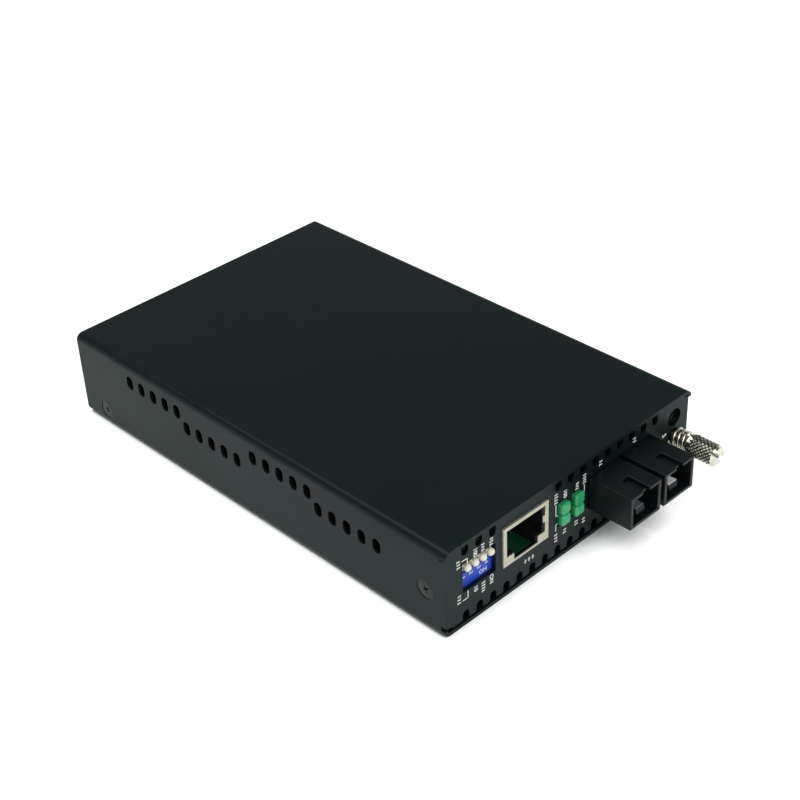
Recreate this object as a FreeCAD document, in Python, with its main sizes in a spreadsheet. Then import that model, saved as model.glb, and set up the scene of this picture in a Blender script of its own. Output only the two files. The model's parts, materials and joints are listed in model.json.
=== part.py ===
import FreeCAD, Part
import math
import os
import Sketcher

# Fibre media converter: a flat steel box with a twisted-pair jack, four switches, four lamps,
# a duplex optical port and a sprung captive screw on its front, and a power inlet at the rear.
# Frame: X to the right of the front, Y from front to rear, Z up, origin under the middle of
# the case. Lengths are millimetres, angles degrees.

DRIVING_SIZES = [
    # the folded sleeve that wraps the case
    ("case_width", 88.0), ("case_depth", 138.0), ("case_height", 24.8),
    ("sleeve_sheet", 1.0), ("bend_radius", 2.0), ("seam_gap", 0.4), ("seam_x", 22.0),
    # the sliding tray with the front and rear plates
    ("tray_sheet", 1.0), ("panel_recess", 0.8), ("panel_gap", 0.4), ("panel_corner", 1.6),
    ("panel_step", 1.7), ("panel_step_gap", 0.3),
    ("side_gap", 0.15), ("tray_bend", 1.25), ("flange_height", 7.0), ("flange_bend", 1.2),
    ("ear_gap", 0.3), ("front_tab_length", 7.6), ("front_tab_top", 16.0), ("window_play", 0.2),
    # ventilation
    ("vent_width", 2.6), ("vent_height", 4.0), ("vent_pitch", 4.97), ("vent_group", 5),
    ("vent_upper_z", 19.07), ("vent_lower_z", 15.48), ("vent_start", 45.95),
    ("vent_stagger", 23.4),
    ("notch_width", 2.2), ("notch_margin", 8.0), ("notch_shift", -0.9), ("notch_reach", 2.3),
    ("notch_foot_top", 4.3), ("notch_head_bottom", 20.3), ("notch_side_count", 8),
    # side screws
    ("screw_radius", 1.5), ("screw_head_radius", 2.75), ("screw_head_height", 1.0),
    ("screw_length", 2.7), ("front_screw_inset", 6.4), ("front_screw_z", 11.7),
    ("rear_screw_inset", 9.8), ("rear_screw_z", 4.8),
    # circuit board and its supports
    ("standoff_height", 5.6), ("standoff_radius", 2.75), ("standoff_floor", 0.6),
    ("screw_end_gap", 0.6), ("board_thickness", 1.6),
    ("board_side_gap", 1.85), ("board_end_gap", 0.4), ("mount_edge", 4.0), ("mount_inset", 32.0),
    ("mount_rear_inset", 12.0), ("board_screw_radius", 1.5), ("board_screw_head", 2.75),
    ("board_screw_head_height", 1.8), ("pin_width", 0.5), ("pin_stub", 1.0),
    # twisted-pair jack
    ("jack_share", -0.19375), ("jack_width", 15.5), ("jack_height", 11.1), ("jack_depth", 16.0),
    ("jack_proud", 0.5), ("jack_sheet", 0.35), ("jack_fit", 0.05),
    ("plug_width", 12.0), ("plug_height", 7.2), ("plug_base", 2.45), ("plug_depth", 11.5),
    ("latch_width", 7.5), ("latch_ledge", 0.6), ("latch_depth", 9.0),
    ("shield_tab_height", 1.9), ("shield_tab_reach", 0.7), ("shield_tab_z", 6.3),
    ("contact_pitch", 1.02), ("contact_width", 0.45), ("contact_thickness", 0.3),
    ("contact_length", 10.2), ("contact_tilt", 17.0),
    # four-way switch with tilting levers
    ("switch_share", -0.3676), ("switch_width", 11.7), ("switch_depth", 9.6), ("switch_height", 6.4),
    ("switch_gap", 0.45), ("switch_pitch", 2.54), ("lever_width", 1.7), ("lever_radius", 0.8),
    ("lever_proud", 0.7), ("lever_height", 7.05), ("lever_play", 0.15), ("pivot_inset", 4.0),
    ("pivot_height", 5.5), ("pivot_radius", 0.4), ("pivot_play", 0.08), ("boss_radius", 0.9),
    ("boss_room", 0.2), ("arm_reach", 0.3), ("web_width", 1.26), ("switch_pin_inset", 1.0),
    ("switch_row_spacing", 7.62), ("switch_window_width", 10.8),
    ("switch_window_bottom", 9.8), ("switch_window_top", 17.8),
    # signal lamps
    ("lamp_width", 3.4), ("lamp_height", 3.15), ("lamp_column_pitch", 5.0), ("lamp_x", -1.15),
    ("lamp_row_gap", 0.1), ("lamp_base", 0.75), ("lamp_proud", 1.3), ("lamp_length", 6.6),
    ("lamp_corner", 0.8), ("lamp_round", 0.6), ("lamp_holder_wall", 0.8), ("holder_gap", 0.2),
    ("lamp_holder_depth", 5.6), ("lamp_lead", 0.45), ("lamp_lead_pitch", 1.7),
    ("lead_bend", 0.6), ("lead_step", 1.0),
    # duplex optical transceiver
    ("port_x", 17.3), ("port_pitch", 12.7), ("port_width", 11.3), ("port_height", 9.1),
    ("port_proud", 13.1), ("port_cavity_width", 9.2), ("port_cavity_height", 7.3),
    ("port_cavity_depth", 13.3), ("keyway_width", 2.6), ("keyway_length", 6.7),
    ("optics_width", 25.4), ("optics_depth", 26.0), ("optics_height", 9.6), ("optics_gap", 0.2),
    ("optics_pin_pitch", 2.54), ("optics_pin_inset", 2.0),
    ("hook_width", 3.2), ("hook_length", 11.8), ("hook_thickness", 0.7), ("hook_gap", 0.35),
    ("hook_head", 3.4), ("hook_opening", 4.4), ("hook_ramp", 0.4), ("hook_base", 1.0),
    ("bore_sleeve_radius", 2.2), ("bore_sleeve_bore", 1.25), ("bore_sleeve_length", 8.0),
    ("bore_sleeve_floor", 0.8),
    # power inlet
    ("inlet_x", -24.0), ("inlet_width", 9.0), ("inlet_depth", 13.0), ("inlet_height", 11.0),
    ("inlet_axis_height", 6.2), ("inlet_bore", 2.9), ("inlet_collar", 4.0), ("inlet_gap", 0.2),
    ("inlet_bore_depth", 9.5), ("inlet_pin", 1.05), ("inlet_pin_length", 8.0),
    ("blade_width", 2.2), ("blade_length", 8.0), ("blade_thickness", 0.4),
    # captive screw with its spring
    ("thumb_inset", 5.5), ("thumb_z", 13.2), ("thumb_radius", 2.95), ("thumb_head_length", 8.3),
    ("thumb_chamfer", 0.5), ("thumb_slot_width", 0.8), ("thumb_slot_depth", 1.0),
    ("thumb_gap", 5.5), ("shank_radius", 1.6), ("shank_length", 15.2), ("shank_hole", 2.0),
    ("block_width", 6.2), ("block_thickness", 2.2), ("block_bottom", 9.6), ("block_top", 22.0),
    ("block_bore", 1.68), ("recess_z", 18.6), ("recess_radius", 2.5), ("recess_depth", 1.0),
    ("clip_radius", 2.3), ("clip_bore", 1.28), ("clip_thickness", 0.6), ("clip_mouth", 1.8),
    ("groove_radius", 1.2), ("groove_play", 0.1),
    ("coil_radius", 2.45), ("coil_wire", 0.32), ("coil_turns", 4.5),
    # parts on the board
    ("chip_size", 20.0), ("chip_height", 1.6), ("chip_x", -8.0), ("chip_y", -4.0),
    ("transformer_x", -17.0), ("transformer_y", -38.0), ("transformer_width", 14.0),
    ("transformer_depth", 12.0), ("transformer_height", 5.6),
    ("regulator_x", -20.0), ("regulator_y", 34.0), ("regulator_size", 9.0),
    ("regulator_height", 2.3), ("regulator_tab", 2.4), ("regulator_tab_height", 0.6),
    ("regulator_tab_width", 7.2),
    ("inductor_x", -4.0), ("inductor_y", 36.0), ("inductor_size", 9.0),
    ("inductor_height", 4.5), ("inductor_base", 1.0), ("inductor_drum", 3.8),
    ("capacitor_x", 12.0), ("capacitor_y", 40.0), ("capacitor_pitch", 12.0),
    ("capacitor_radius", 4.0), ("capacitor_height", 10.0),
    ("crystal_x", -28.0), ("crystal_y", -18.0), ("crystal_width", 10.8),
    ("crystal_depth", 4.6), ("crystal_height", 3.6),
]

JACK_CONTACTS = 8
SWITCH_WAYS = 4
OPTICS_PINS = 9
NOTCH_LEFT_COUNT = 3
NOTCH_RIGHT_COUNT = 9

doc = FreeCAD.newDocument("FibreMediaConverter")
sizes = doc.addObject("Spreadsheet::Sheet", "Sizes")
for row, (alias, number) in enumerate(DRIVING_SIZES, start=1):
    sizes.set(f"A{row}", alias)
    sizes.set(f"B{row}", str(number))
    sizes.setAlias(f"B{row}", alias)
doc.recompute()

nodes = {}

# Planes and heights that several pieces share, worked out from the driving sizes.
HALF_WIDTH = "(Sizes.case_width / 2)"
FRONT = "(-Sizes.case_depth / 2)"
PANEL = f"({FRONT} + Sizes.panel_recess)"
PANEL_BACK = f"({PANEL} + Sizes.tray_sheet)"
REAR_PANEL = f"(-{PANEL})"
REAR_PANEL_INSIDE = f"(-{PANEL_BACK})"
FLOOR = "Sizes.sleeve_sheet"
FLOOR_TOP = f"({FLOOR} + Sizes.tray_sheet)"
PANEL_TOP = "(Sizes.case_height - Sizes.sleeve_sheet - Sizes.panel_gap)"
FLANGE_FACE = f"({HALF_WIDTH} - Sizes.sleeve_sheet - Sizes.side_gap)"
FLANGE_INSIDE = f"({FLANGE_FACE} - Sizes.tray_sheet)"
BOARD_UNDER = f"({FLOOR_TOP} + Sizes.standoff_height)"
BOARD_TOP = f"({BOARD_UNDER} + Sizes.board_thickness)"
BOARD_FRONT = f"({PANEL_BACK} + Sizes.board_end_gap)"
FRONT_SCREW_Y = f"({FRONT} + Sizes.front_screw_inset)"
REAR_SCREW_Y = "(Sizes.case_depth / 2 - Sizes.rear_screw_inset)"
BOARD_HALF = f"({FLANGE_INSIDE} - Sizes.board_side_gap)"
MOUNT_X = f"({BOARD_HALF} - Sizes.mount_edge)"
MOUNT_FRONT_Y = f"({FRONT} + Sizes.mount_inset)"
MOUNT_REAR_Y = "(Sizes.case_depth / 2 - Sizes.mount_rear_inset)"
NOTCH_PITCH = "((Sizes.case_width - 2 * Sizes.notch_margin) / (2 * Sizes.notch_side_count))"
SWITCH_X = "(Sizes.switch_share * Sizes.case_width)"
JACK_X = "(Sizes.jack_share * Sizes.case_width)"
THUMB_X = f"({HALF_WIDTH} - Sizes.thumb_inset)"


# Small helpers: each makes one object whose sizes are bound to the sheet.

def value(text):
    """The present number of an expression on the sheet."""
    return float(sizes.evalExpression(text))


def bind(thing, **texts):
    for name, text in texts.items():
        thing.setExpression(name, text)
    return thing


def place(thing, x, y, z):
    for axis, text in (("x", x), ("y", y), ("z", z)):
        thing.setExpression(f".Placement.Base.{axis}", text)
    return thing


def block(name, low, size):
    """A box from its low corner and its three lengths."""
    thing = doc.addObject("Part::Box", name)
    bind(thing, Length=size[0], Width=size[1], Height=size[2])
    return place(thing, *low)


TURNS = {
    "X": FreeCAD.Rotation(FreeCAD.Vector(0, 1, 0), 90),
    "Y": FreeCAD.Rotation(FreeCAD.Vector(1, 0, 0), -90),
    "Z": FreeCAD.Rotation(),
    "-X": FreeCAD.Rotation(FreeCAD.Vector(0, 1, 0), -90),
}


def rod(name, axis, start, radius, length):
    """A cylinder that starts at a point and runs along an axis."""
    thing = doc.addObject("Part::Cylinder", name)
    thing.Placement.Rotation = TURNS[axis]
    bind(thing, Radius=radius, Height=length)
    return place(thing, *start)


def cone(name, axis, start, radius, end_radius, length):
    thing = doc.addObject("Part::Cone", name)
    thing.Placement.Rotation = TURNS[axis]
    bind(thing, Radius1=radius, Radius2=end_radius, Height=length)
    return place(thing, *start)


def fuse(name, pieces):
    thing = doc.addObject("Part::MultiFuse", name)
    thing.Shapes = pieces
    thing.Refine = True
    return thing


def carve(name, base, cutters):
    """The base with every cutter taken out of it."""
    thing = doc.addObject("Part::Cut", name)
    thing.Base = base
    thing.Tool = cutters[0] if len(cutters) == 1 else group(f"{name}_cutters", cutters)
    return thing


def group(name, pieces):
    thing = doc.addObject("Part::Compound", name)
    thing.Links = pieces
    return thing


def node(name, thing):
    """Hand a finished sub-part in under the name of its node."""
    thing.Label = name
    nodes[name] = thing
    return thing


def new_body(name):
    return doc.addObject("PartDesign::Body", name)


def origin_part(body, role):
    return next(part for part in body.Origin.OriginFeatures if part.Role == role)


def new_sketch(body, name, plane, offset="0"):
    sketch = body.newObject("Sketcher::SketchObject", name)
    sketch.AttachmentSupport = [(origin_part(body, plane), "")]
    sketch.MapMode = "FlatFace"
    sketch.setExpression(".AttachmentOffset.Base.z", offset)
    return sketch


def pin_point(sketch, line, end, x, y):
    """Hold one end of a line, or a circle's centre, at two expressions."""
    for kind, text in (("DistanceX", x), ("DistanceY", y)):
        held = sketch.addConstraint(Sketcher.Constraint(kind, -1, 1, line, end, value(text)))
        sketch.setExpression(f"Constraints[{held}]", text)


def draw_outline(sketch, corners):
    """A closed outline of straight edges; a corner's third entry rounds that square corner."""
    points = [FreeCAD.Vector(value(corner[0]), value(corner[1]), 0) for corner in corners]
    count = len(points)
    up = FreeCAD.Vector(0, 0, 1)
    ends = []
    for index, corner in enumerate(corners):
        size = value(corner[2]) if len(corner) == 3 else 0
        back = (points[index - 1] - points[index]).normalize()
        ahead = (points[(index + 1) % count] - points[index]).normalize()
        ends.append((points[index] + back * size, points[index] + ahead * size, back, ahead, size))
    first = sketch.GeometryCount
    for index in range(count):
        line = Part.LineSegment(ends[index][1], ends[(index + 1) % count][0])
        sketch.addGeometry(line, False)
    for index, corner in enumerate(corners):
        entry, leave, back, ahead, size = ends[index]
        coming = first + (index - 1) % count
        going = first + index
        if not size:
            sketch.addConstraint(Sketcher.Constraint("Coincident", coming, 2, going, 1))
            pin_point(sketch, going, 1, corner[0], corner[1])
            continue
        middle = points[index] + (back + ahead) * size
        left_turn = back.cross(ahead).z < 0
        start, stop = (entry, leave) if left_turn else (leave, entry)
        angles = [math.atan2(end.y - middle.y, end.x - middle.x) for end in (start, stop)]
        arc = sketch.addGeometry(Part.ArcOfCircle(Part.Circle(middle, up, size), *angles), False)
        for line, line_end, arc_end in ((coming, 2, 1 if left_turn else 2),
                                        (going, 1, 2 if left_turn else 1)):
            sketch.addConstraint(Sketcher.Constraint("Tangent", line, line_end, arc, arc_end))
        held = sketch.addConstraint(Sketcher.Constraint("Radius", arc, size))
        sketch.setExpression(f"Constraints[{held}]", corner[2])
        toward = back + ahead
        pin_point(sketch, arc, 3, f"{corner[0]} + {round(toward.x)} * ({corner[2]})",
                  f"{corner[1]} + {round(toward.y)} * ({corner[2]})")


def rectangle(left, bottom, right, top, corner=None):
    corners = [(left, bottom), (right, bottom), (right, top), (left, top)]
    return [point + (corner,) for point in corners] if corner else corners


def draw_circle(sketch, x, y, radius):
    centre = FreeCAD.Vector(value(x), value(y), 0)
    circle = sketch.addGeometry(Part.Circle(centre, FreeCAD.Vector(0, 0, 1), value(radius)), False)
    pin_point(sketch, circle, 3, x, y)
    held = sketch.addConstraint(Sketcher.Constraint("Radius", circle, value(radius)))
    sketch.setExpression(f"Constraints[{held}]", radius)


def draw_upright_slot(sketch, x, low, high, radius):
    """A slot with round ends whose arcs are centred at two heights."""
    centres = [FreeCAD.Vector(value(x), value(y), 0) for y in (low, high)]
    size = value(radius)
    up = FreeCAD.Vector(0, 0, 1)
    side = FreeCAD.Vector(size, 0, 0)
    bottom = sketch.addGeometry(
        Part.ArcOfCircle(Part.Circle(centres[0], up, size), math.pi, 2 * math.pi), False)
    top = sketch.addGeometry(
        Part.ArcOfCircle(Part.Circle(centres[1], up, size), 0, math.pi), False)
    right = sketch.addGeometry(Part.LineSegment(centres[0] + side, centres[1] + side), False)
    left = sketch.addGeometry(Part.LineSegment(centres[1] - side, centres[0] - side), False)
    for first, end, second, start in ((bottom, 2, right, 1), (right, 2, top, 1),
                                      (top, 2, left, 1), (left, 2, bottom, 1)):
        sketch.addConstraint(Sketcher.Constraint("Tangent", first, end, second, start))
    sketch.addConstraint(Sketcher.Constraint("Equal", bottom, top))
    pin_point(sketch, bottom, 3, x, low)
    pin_point(sketch, top, 3, x, high)
    held = sketch.addConstraint(Sketcher.Constraint("Radius", bottom, size))
    sketch.setExpression(f"Constraints[{held}]", radius)


def pad(body, sketch, length, both_ways=False, backwards=False):
    feature = body.newObject("PartDesign::Pad", f"{sketch.Name}_pad")
    feature.Profile = sketch
    feature.Midplane = both_ways
    feature.Reversed = backwards
    return bind(feature, Length=length)


def pocket(body, sketch, length, both_ways=False):
    doc.recompute()
    before = body.Shape.Volume
    feature = body.newObject("PartDesign::Pocket", f"{sketch.Name}_pocket")
    feature.Profile = sketch
    feature.Midplane = both_ways
    bind(feature, Length=length)
    doc.recompute()
    if body.Shape.Volume >= before:
        raise ValueError(f"{sketch.Name} cuts nothing")
    return feature


def row_of(body, feature, sketch, axis, pitch, count, backwards=False):
    """Repeat a feature along one axis of its sketch, one pitch apart."""
    pattern = body.newObject("PartDesign::LinearPattern", f"{feature.Name}_row")
    pattern.Originals = [feature]
    pattern.Direction = (sketch, [axis])
    pattern.Reversed = backwards
    bind(pattern, Occurrences=count, Length=f"({count} - 1) * {pitch}")
    body.Tip = pattern
    doc.recompute()
    return pattern


def round_edges(body, radius, chosen):
    """Fillet the edges of the body whose middle the test accepts."""
    doc.recompute()
    names = []
    for index, edge in enumerate(body.Shape.Edges, start=1):
        ends = [vertex.Point for vertex in edge.Vertexes]
        if len(ends) == 2 and chosen((ends[0] + ends[1]) / 2):
            names.append(f"Edge{index}")
    if not names:
        raise ValueError(f"{body.Name} has no edge to round")
    rounded = body.Tip
    feature = body.newObject("PartDesign::Fillet", f"{body.Name}_round")
    feature.Base = (rounded, names)
    return bind(feature, Radius=radius)


def close(number, text):
    return abs(number - value(text)) < 0.001


# The case

def make_sleeve():
    """One sheet folded round the case, butted along a seam under it."""
    body = new_body("Sleeve")
    profile = new_sketch(body, "SleeveProfile", "XZ_Plane")
    seam_left = "(Sizes.seam_x - Sizes.seam_gap / 2)"
    seam_right = "(Sizes.seam_x + Sizes.seam_gap / 2)"
    inside = f"({HALF_WIDTH} - Sizes.sleeve_sheet)"
    top = "Sizes.case_height"
    ceiling = "(Sizes.case_height - Sizes.sleeve_sheet)"
    outer = "Sizes.bend_radius"
    inner = "(Sizes.bend_radius - Sizes.sleeve_sheet)"
    draw_outline(profile, [
        (seam_right, "0"), (HALF_WIDTH, "0", outer), (HALF_WIDTH, top, outer),
        (f"-{HALF_WIDTH}", top, outer), (f"-{HALF_WIDTH}", "0", outer), (seam_left, "0"),
        (seam_left, FLOOR), (f"-{inside}", FLOOR, inner), (f"-{inside}", ceiling, inner),
        (inside, ceiling, inner), (inside, FLOOR, inner), (seam_right, FLOOR),
    ])
    pad(body, profile, "Sizes.case_depth", both_ways=True)

    # The side walls stop behind the front plate; the roof, its bends and the floor reach past it.
    lip_end = f"({HALF_WIDTH} - Sizes.bend_radius)"
    past = "(Sizes.case_width)"
    sides = new_sketch(body, "SideSetback", "XZ_Plane", f"-{FRONT}")
    for sign in ("", "-"):
        draw_outline(sides, rectangle(f"{sign}{lip_end}", "-1", f"{sign}{past}",
                                      f"({top} - {outer})"))
    pocket(body, sides, "Sizes.panel_recess + Sizes.tray_sheet")
    under = new_sketch(body, "FloorSetback", "XZ_Plane", f"-{FRONT}")
    draw_outline(under, rectangle(f"-{past}", "-1", past, f"({top} / 2)"))
    pocket(body, under, "Sizes.panel_recess")

    vents = new_sketch(body, "Vents", "YZ_Plane")
    radius = "(Sizes.vent_width / 2)"
    reach = "((Sizes.vent_height - Sizes.vent_width) / 2)"
    for height, first in (("Sizes.vent_upper_z", "Sizes.vent_start"),
                          ("Sizes.vent_lower_z", "(Sizes.vent_start - Sizes.vent_stagger)")):
        for start in (first, f"({first} - 2 * Sizes.vent_group * Sizes.vent_pitch)"):
            draw_upright_slot(vents, start, f"({height} - {reach})", f"({height} + {reach})", radius)
    cut = pocket(body, vents, "2 * Sizes.case_width", both_ways=True)
    row_of(body, cut, vents, "H_Axis", "Sizes.vent_pitch", "Sizes.vent_group", backwards=True)

    seats = [screw_cone(f"Seat{index}", *spot) for index, spot in enumerate(screw_spots())]
    node("case_sleeve", carve("CaseSleeve", body, seats))


def screw_spots():
    """Side, y and z of the four screws that hold the sleeve to the tray."""
    for side in (-1, 1):
        yield side, FRONT_SCREW_Y, "Sizes.front_screw_z"
        yield side, REAR_SCREW_Y, "Sizes.rear_screw_z"


def screw_cone(name, side, y, z):
    inward = "X" if side < 0 else "-X"
    return cone(name, inward, (f"{side} * {HALF_WIDTH}", y, z),
                "Sizes.screw_head_radius", "Sizes.screw_radius", "Sizes.screw_head_height")


def make_case_screws():
    screws = []
    for index, (side, y, z) in enumerate(screw_spots()):
        inward = "X" if side < 0 else "-X"
        head = screw_cone(f"ScrewHead{index}", side, y, z)
        start = f"{side} * ({HALF_WIDTH} - Sizes.screw_head_height)"
        shank = rod(f"ScrewShank{index}", inward, (start, y, z), "Sizes.screw_radius",
                    "Sizes.screw_length - Sizes.screw_head_height")
        screws.append(fuse(f"CaseScrew{index}", [head, shank]))
    node("case_screws", group("CaseScrews", screws))


def make_tray():
    """Floor with low side flanges, folded up into the front and rear plates."""
    body = new_body("Tray")

    # The folded sheet seen from the side, as far up as the bends reach.
    foot = f"({FLANGE_FACE} - Sizes.flange_bend - Sizes.side_gap)"
    ear = "(Sizes.bend_radius + Sizes.ear_gap)"
    outer = "Sizes.tray_bend"
    inner = "(Sizes.tray_bend - Sizes.tray_sheet)"
    fold = new_sketch(body, "Fold", "YZ_Plane")
    draw_outline(fold, [
        (PANEL, FLOOR, outer), (REAR_PANEL, FLOOR, outer), (REAR_PANEL, ear),
        (REAR_PANEL_INSIDE, ear), (REAR_PANEL_INSIDE, FLOOR_TOP, inner),
        (PANEL_BACK, FLOOR_TOP, inner), (PANEL_BACK, ear), (PANEL, ear),
    ])
    pad(body, fold, f"2 * {foot}", both_ways=True)

    # The front plate covers the side walls' edges and steps in under the roof's bends.
    front = new_sketch(body, "FrontPlate", "XZ_Plane", f"-{PANEL_BACK}")
    corner = "Sizes.panel_corner"
    step_x = f"({HALF_WIDTH} - Sizes.panel_step)"
    step_z = "(Sizes.case_height - Sizes.bend_radius - Sizes.panel_step_gap)"
    draw_outline(front, [
        (f"-{HALF_WIDTH}", ear, corner), (HALF_WIDTH, ear, corner), (HALF_WIDTH, step_z),
        (step_x, step_z), (step_x, PANEL_TOP), (f"-{step_x}", PANEL_TOP), (f"-{step_x}", step_z),
        (f"-{HALF_WIDTH}", step_z),
    ])
    pad(body, front, "Sizes.tray_sheet")
    rear = new_sketch(body, "RearPlate", "XZ_Plane", f"-{REAR_PANEL}")
    draw_outline(rear, rectangle(f"-{FLANGE_FACE}", ear, FLANGE_FACE, PANEL_TOP, corner))
    pad(body, rear, "Sizes.tray_sheet")

    rim = f"({FLOOR} + Sizes.flange_height)"
    for side, sign in (("Left", "-"), ("Right", "")):
        flange = new_sketch(body, f"Flange{side}", "XZ_Plane", f"-{REAR_PANEL_INSIDE}")
        draw_outline(flange, [
            (f"{sign}{foot}", FLOOR), (f"{sign}{FLANGE_FACE}", FLOOR, "Sizes.flange_bend"),
            (f"{sign}{FLANGE_FACE}", rim), (f"{sign}{FLANGE_INSIDE}", rim),
            (f"{sign}{FLANGE_INSIDE}", FLOOR_TOP), (f"{sign}{foot}", FLOOR_TOP),
        ])
        pad(body, flange, f"{REAR_PANEL_INSIDE} - {PANEL_BACK}")

    tab_front = f"({FRONT_SCREW_Y} - Sizes.front_tab_length / 2)"
    tab_back = f"({FRONT_SCREW_Y} + Sizes.front_tab_length / 2)"
    for side, offset in (("Left", f"-{FLANGE_FACE}"), ("Right", FLANGE_INSIDE)):
        tab = new_sketch(body, f"FrontTab{side}", "YZ_Plane", offset)
        draw_outline(tab, rectangle(tab_front, rim, tab_back, "Sizes.front_tab_top"))
        pad(body, tab, "Sizes.tray_sheet")

    def window(name, left, bottom, right, top):
        opening = new_sketch(body, name, "XZ_Plane", f"-{PANEL}")
        draw_outline(opening, rectangle(left, bottom, right, top))
        pocket(body, opening, "Sizes.tray_sheet")

    play = "Sizes.window_play"
    window("JackWindow", f"({JACK_X} - Sizes.jack_width / 2 - {play})", f"({BOARD_TOP} - {play})",
           f"({JACK_X} + Sizes.jack_width / 2 + {play})",
           f"({BOARD_TOP} + Sizes.jack_height + {play})")
    window("SwitchWindow", f"({SWITCH_X} - Sizes.switch_window_width / 2)",
           "Sizes.switch_window_bottom", f"({SWITCH_X} + Sizes.switch_window_width / 2)",
           "Sizes.switch_window_top")
    for column in (0, 1):
        left, right = lamp_sides(column)
        bottom, top = lamp_ends(0)[0], lamp_ends(1)[1]
        window(f"LampWindow{column}", f"({left} - {play})", f"({bottom} - {play})",
               f"({right} + {play})", f"({top} + {play})")
    half = "(Sizes.port_pitch / 2 + Sizes.port_width / 2)"
    window("PortWindow", f"(Sizes.port_x - {half} - {play})", f"({BOARD_TOP} - {play})",
           f"(Sizes.port_x + {half} + {play})", f"({BOARD_TOP} + Sizes.port_height + {play})")

    def hole(name, plane, offset, x, z, radius, length, both_ways=False):
        sketch = new_sketch(body, name, plane, offset)
        draw_circle(sketch, x, z, radius)
        pocket(body, sketch, length, both_ways)

    hole("ShankHole", "XZ_Plane", f"-{PANEL}", THUMB_X, "Sizes.thumb_z",
         "Sizes.shank_hole", "Sizes.tray_sheet")
    hole("RecessHole", "XZ_Plane", f"-{PANEL}", THUMB_X, "Sizes.recess_z",
         "Sizes.recess_radius", "Sizes.tray_sheet")
    hole("InletHole", "XZ_Plane", f"-{REAR_PANEL_INSIDE}", "Sizes.inlet_x", INLET_Z,
         f"(Sizes.inlet_collar + {play})", "Sizes.tray_sheet")
    through = "2 * Sizes.case_width"
    hole("FrontScrewHoles", "YZ_Plane", "0", FRONT_SCREW_Y, "Sizes.front_screw_z",
         "Sizes.screw_radius", through, both_ways=True)
    hole("RearScrewHoles", "YZ_Plane", "0", REAR_SCREW_Y, "Sizes.rear_screw_z",
         "Sizes.screw_radius", through, both_ways=True)

    # Air notches: a full row through the lower fold, two shorter rows in the upper edge.
    round_end = "(Sizes.notch_width / 2)"
    leftmost = f"(Sizes.notch_shift - Sizes.notch_side_count * {NOTCH_PITCH})"
    past_lamps = f"(Sizes.notch_shift - {NOTCH_PITCH})"
    lower = (leftmost, "-2", f"(Sizes.notch_foot_top - {round_end})", "Sizes.notch_reach",
             "2 * Sizes.notch_side_count + 1")
    upper_low = f"(Sizes.notch_head_bottom + {round_end})"
    upper_high = "(Sizes.case_height + 2)"
    upper_left = (leftmost, upper_low, upper_high, "Sizes.tray_sheet", str(NOTCH_LEFT_COUNT))
    upper_right = (past_lamps, upper_low, upper_high, "Sizes.tray_sheet", str(NOTCH_RIGHT_COUNT))
    for name, (x, low, high, depth, count) in (
            ("LowerNotch", lower), ("UpperLeftNotch", upper_left), ("UpperRightNotch", upper_right)):
        notch = new_sketch(body, name, "XZ_Plane", f"-{PANEL}")
        draw_upright_slot(notch, x, low, high, round_end)
        cut = pocket(body, notch, depth)
        row_of(body, cut, notch, "H_Axis", NOTCH_PITCH, count)
    node("chassis_tray", body)


# The circuit board

def board_mounts():
    for x in (f"-{MOUNT_X}", MOUNT_X):
        for y in (MOUNT_FRONT_Y, MOUNT_REAR_Y):
            yield x, y


def make_board():
    plate = block("BoardPlate", (f"-{BOARD_HALF}", BOARD_FRONT, BOARD_UNDER),
                  (f"2 * {BOARD_HALF}", f"-2 * {BOARD_FRONT}", "Sizes.board_thickness"))
    holes = [rod(f"MountHole{index}", "Z", (x, y, BOARD_UNDER), "Sizes.board_screw_radius",
                 "Sizes.board_thickness") for index, (x, y) in enumerate(board_mounts())]
    for index, (x, y) in enumerate(pin_spots()):
        holes.append(board_pin(f"PinHole{index}", x, y))
    node("circuit_board", carve("CircuitBoard", plate, holes))


def make_board_supports():
    standoffs = []
    screws = []
    drop = "(Sizes.standoff_height - Sizes.standoff_floor)"
    for index, (x, y) in enumerate(board_mounts()):
        post = rod(f"Post{index}", "Z", (x, y, FLOOR_TOP), "Sizes.standoff_radius",
                   "Sizes.standoff_height")
        bore = rod(f"PostBore{index}", "Z", (x, y, f"{BOARD_UNDER} - {drop}"),
                   "Sizes.board_screw_radius", drop)
        standoffs.append(carve(f"Standoff{index}", post, [bore]))
        head = rod(f"BoardScrewHead{index}", "Z", (x, y, BOARD_TOP), "Sizes.board_screw_head",
                   "Sizes.board_screw_head_height")
        length = f"({drop} - Sizes.screw_end_gap + Sizes.board_thickness)"
        shank = rod(f"BoardScrewShank{index}", "Z", (x, y, f"{BOARD_TOP} - {length}"),
                    "Sizes.board_screw_radius", length)
        screws.append(fuse(f"BoardScrew{index}", [head, shank]))
    node("board_standoffs", group("BoardStandoffs", standoffs))
    node("board_screws", group("BoardScrews", screws))


def board_pin(name, x, y):
    """One square pin, from the board's top through to a short stub under it."""
    half = "(Sizes.pin_width / 2)"
    return block(name, (f"{x} - {half}", f"{y} - {half}", f"{BOARD_UNDER} - Sizes.pin_stub"),
                 ("Sizes.pin_width", "Sizes.pin_width", "Sizes.board_thickness + Sizes.pin_stub"))


def switch_pin_spots():
    for way in range(SWITCH_WAYS):
        for row in (0, 1):
            inset = f"Sizes.switch_pin_inset + {row} * Sizes.switch_row_spacing"
            yield lever_x(way), f"({SWITCH_FRONT} + {inset})"


def optics_pin_spots():
    middle = (OPTICS_PINS - 1) / 2
    for index in range(OPTICS_PINS):
        yield (f"(Sizes.port_x + {index - middle} * Sizes.optics_pin_pitch)",
               f"({OPTICS_FRONT} + Sizes.optics_depth - Sizes.optics_pin_inset)")


def pin_spots():
    yield from switch_pin_spots()
    yield from optics_pin_spots()


# The twisted-pair jack

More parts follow.
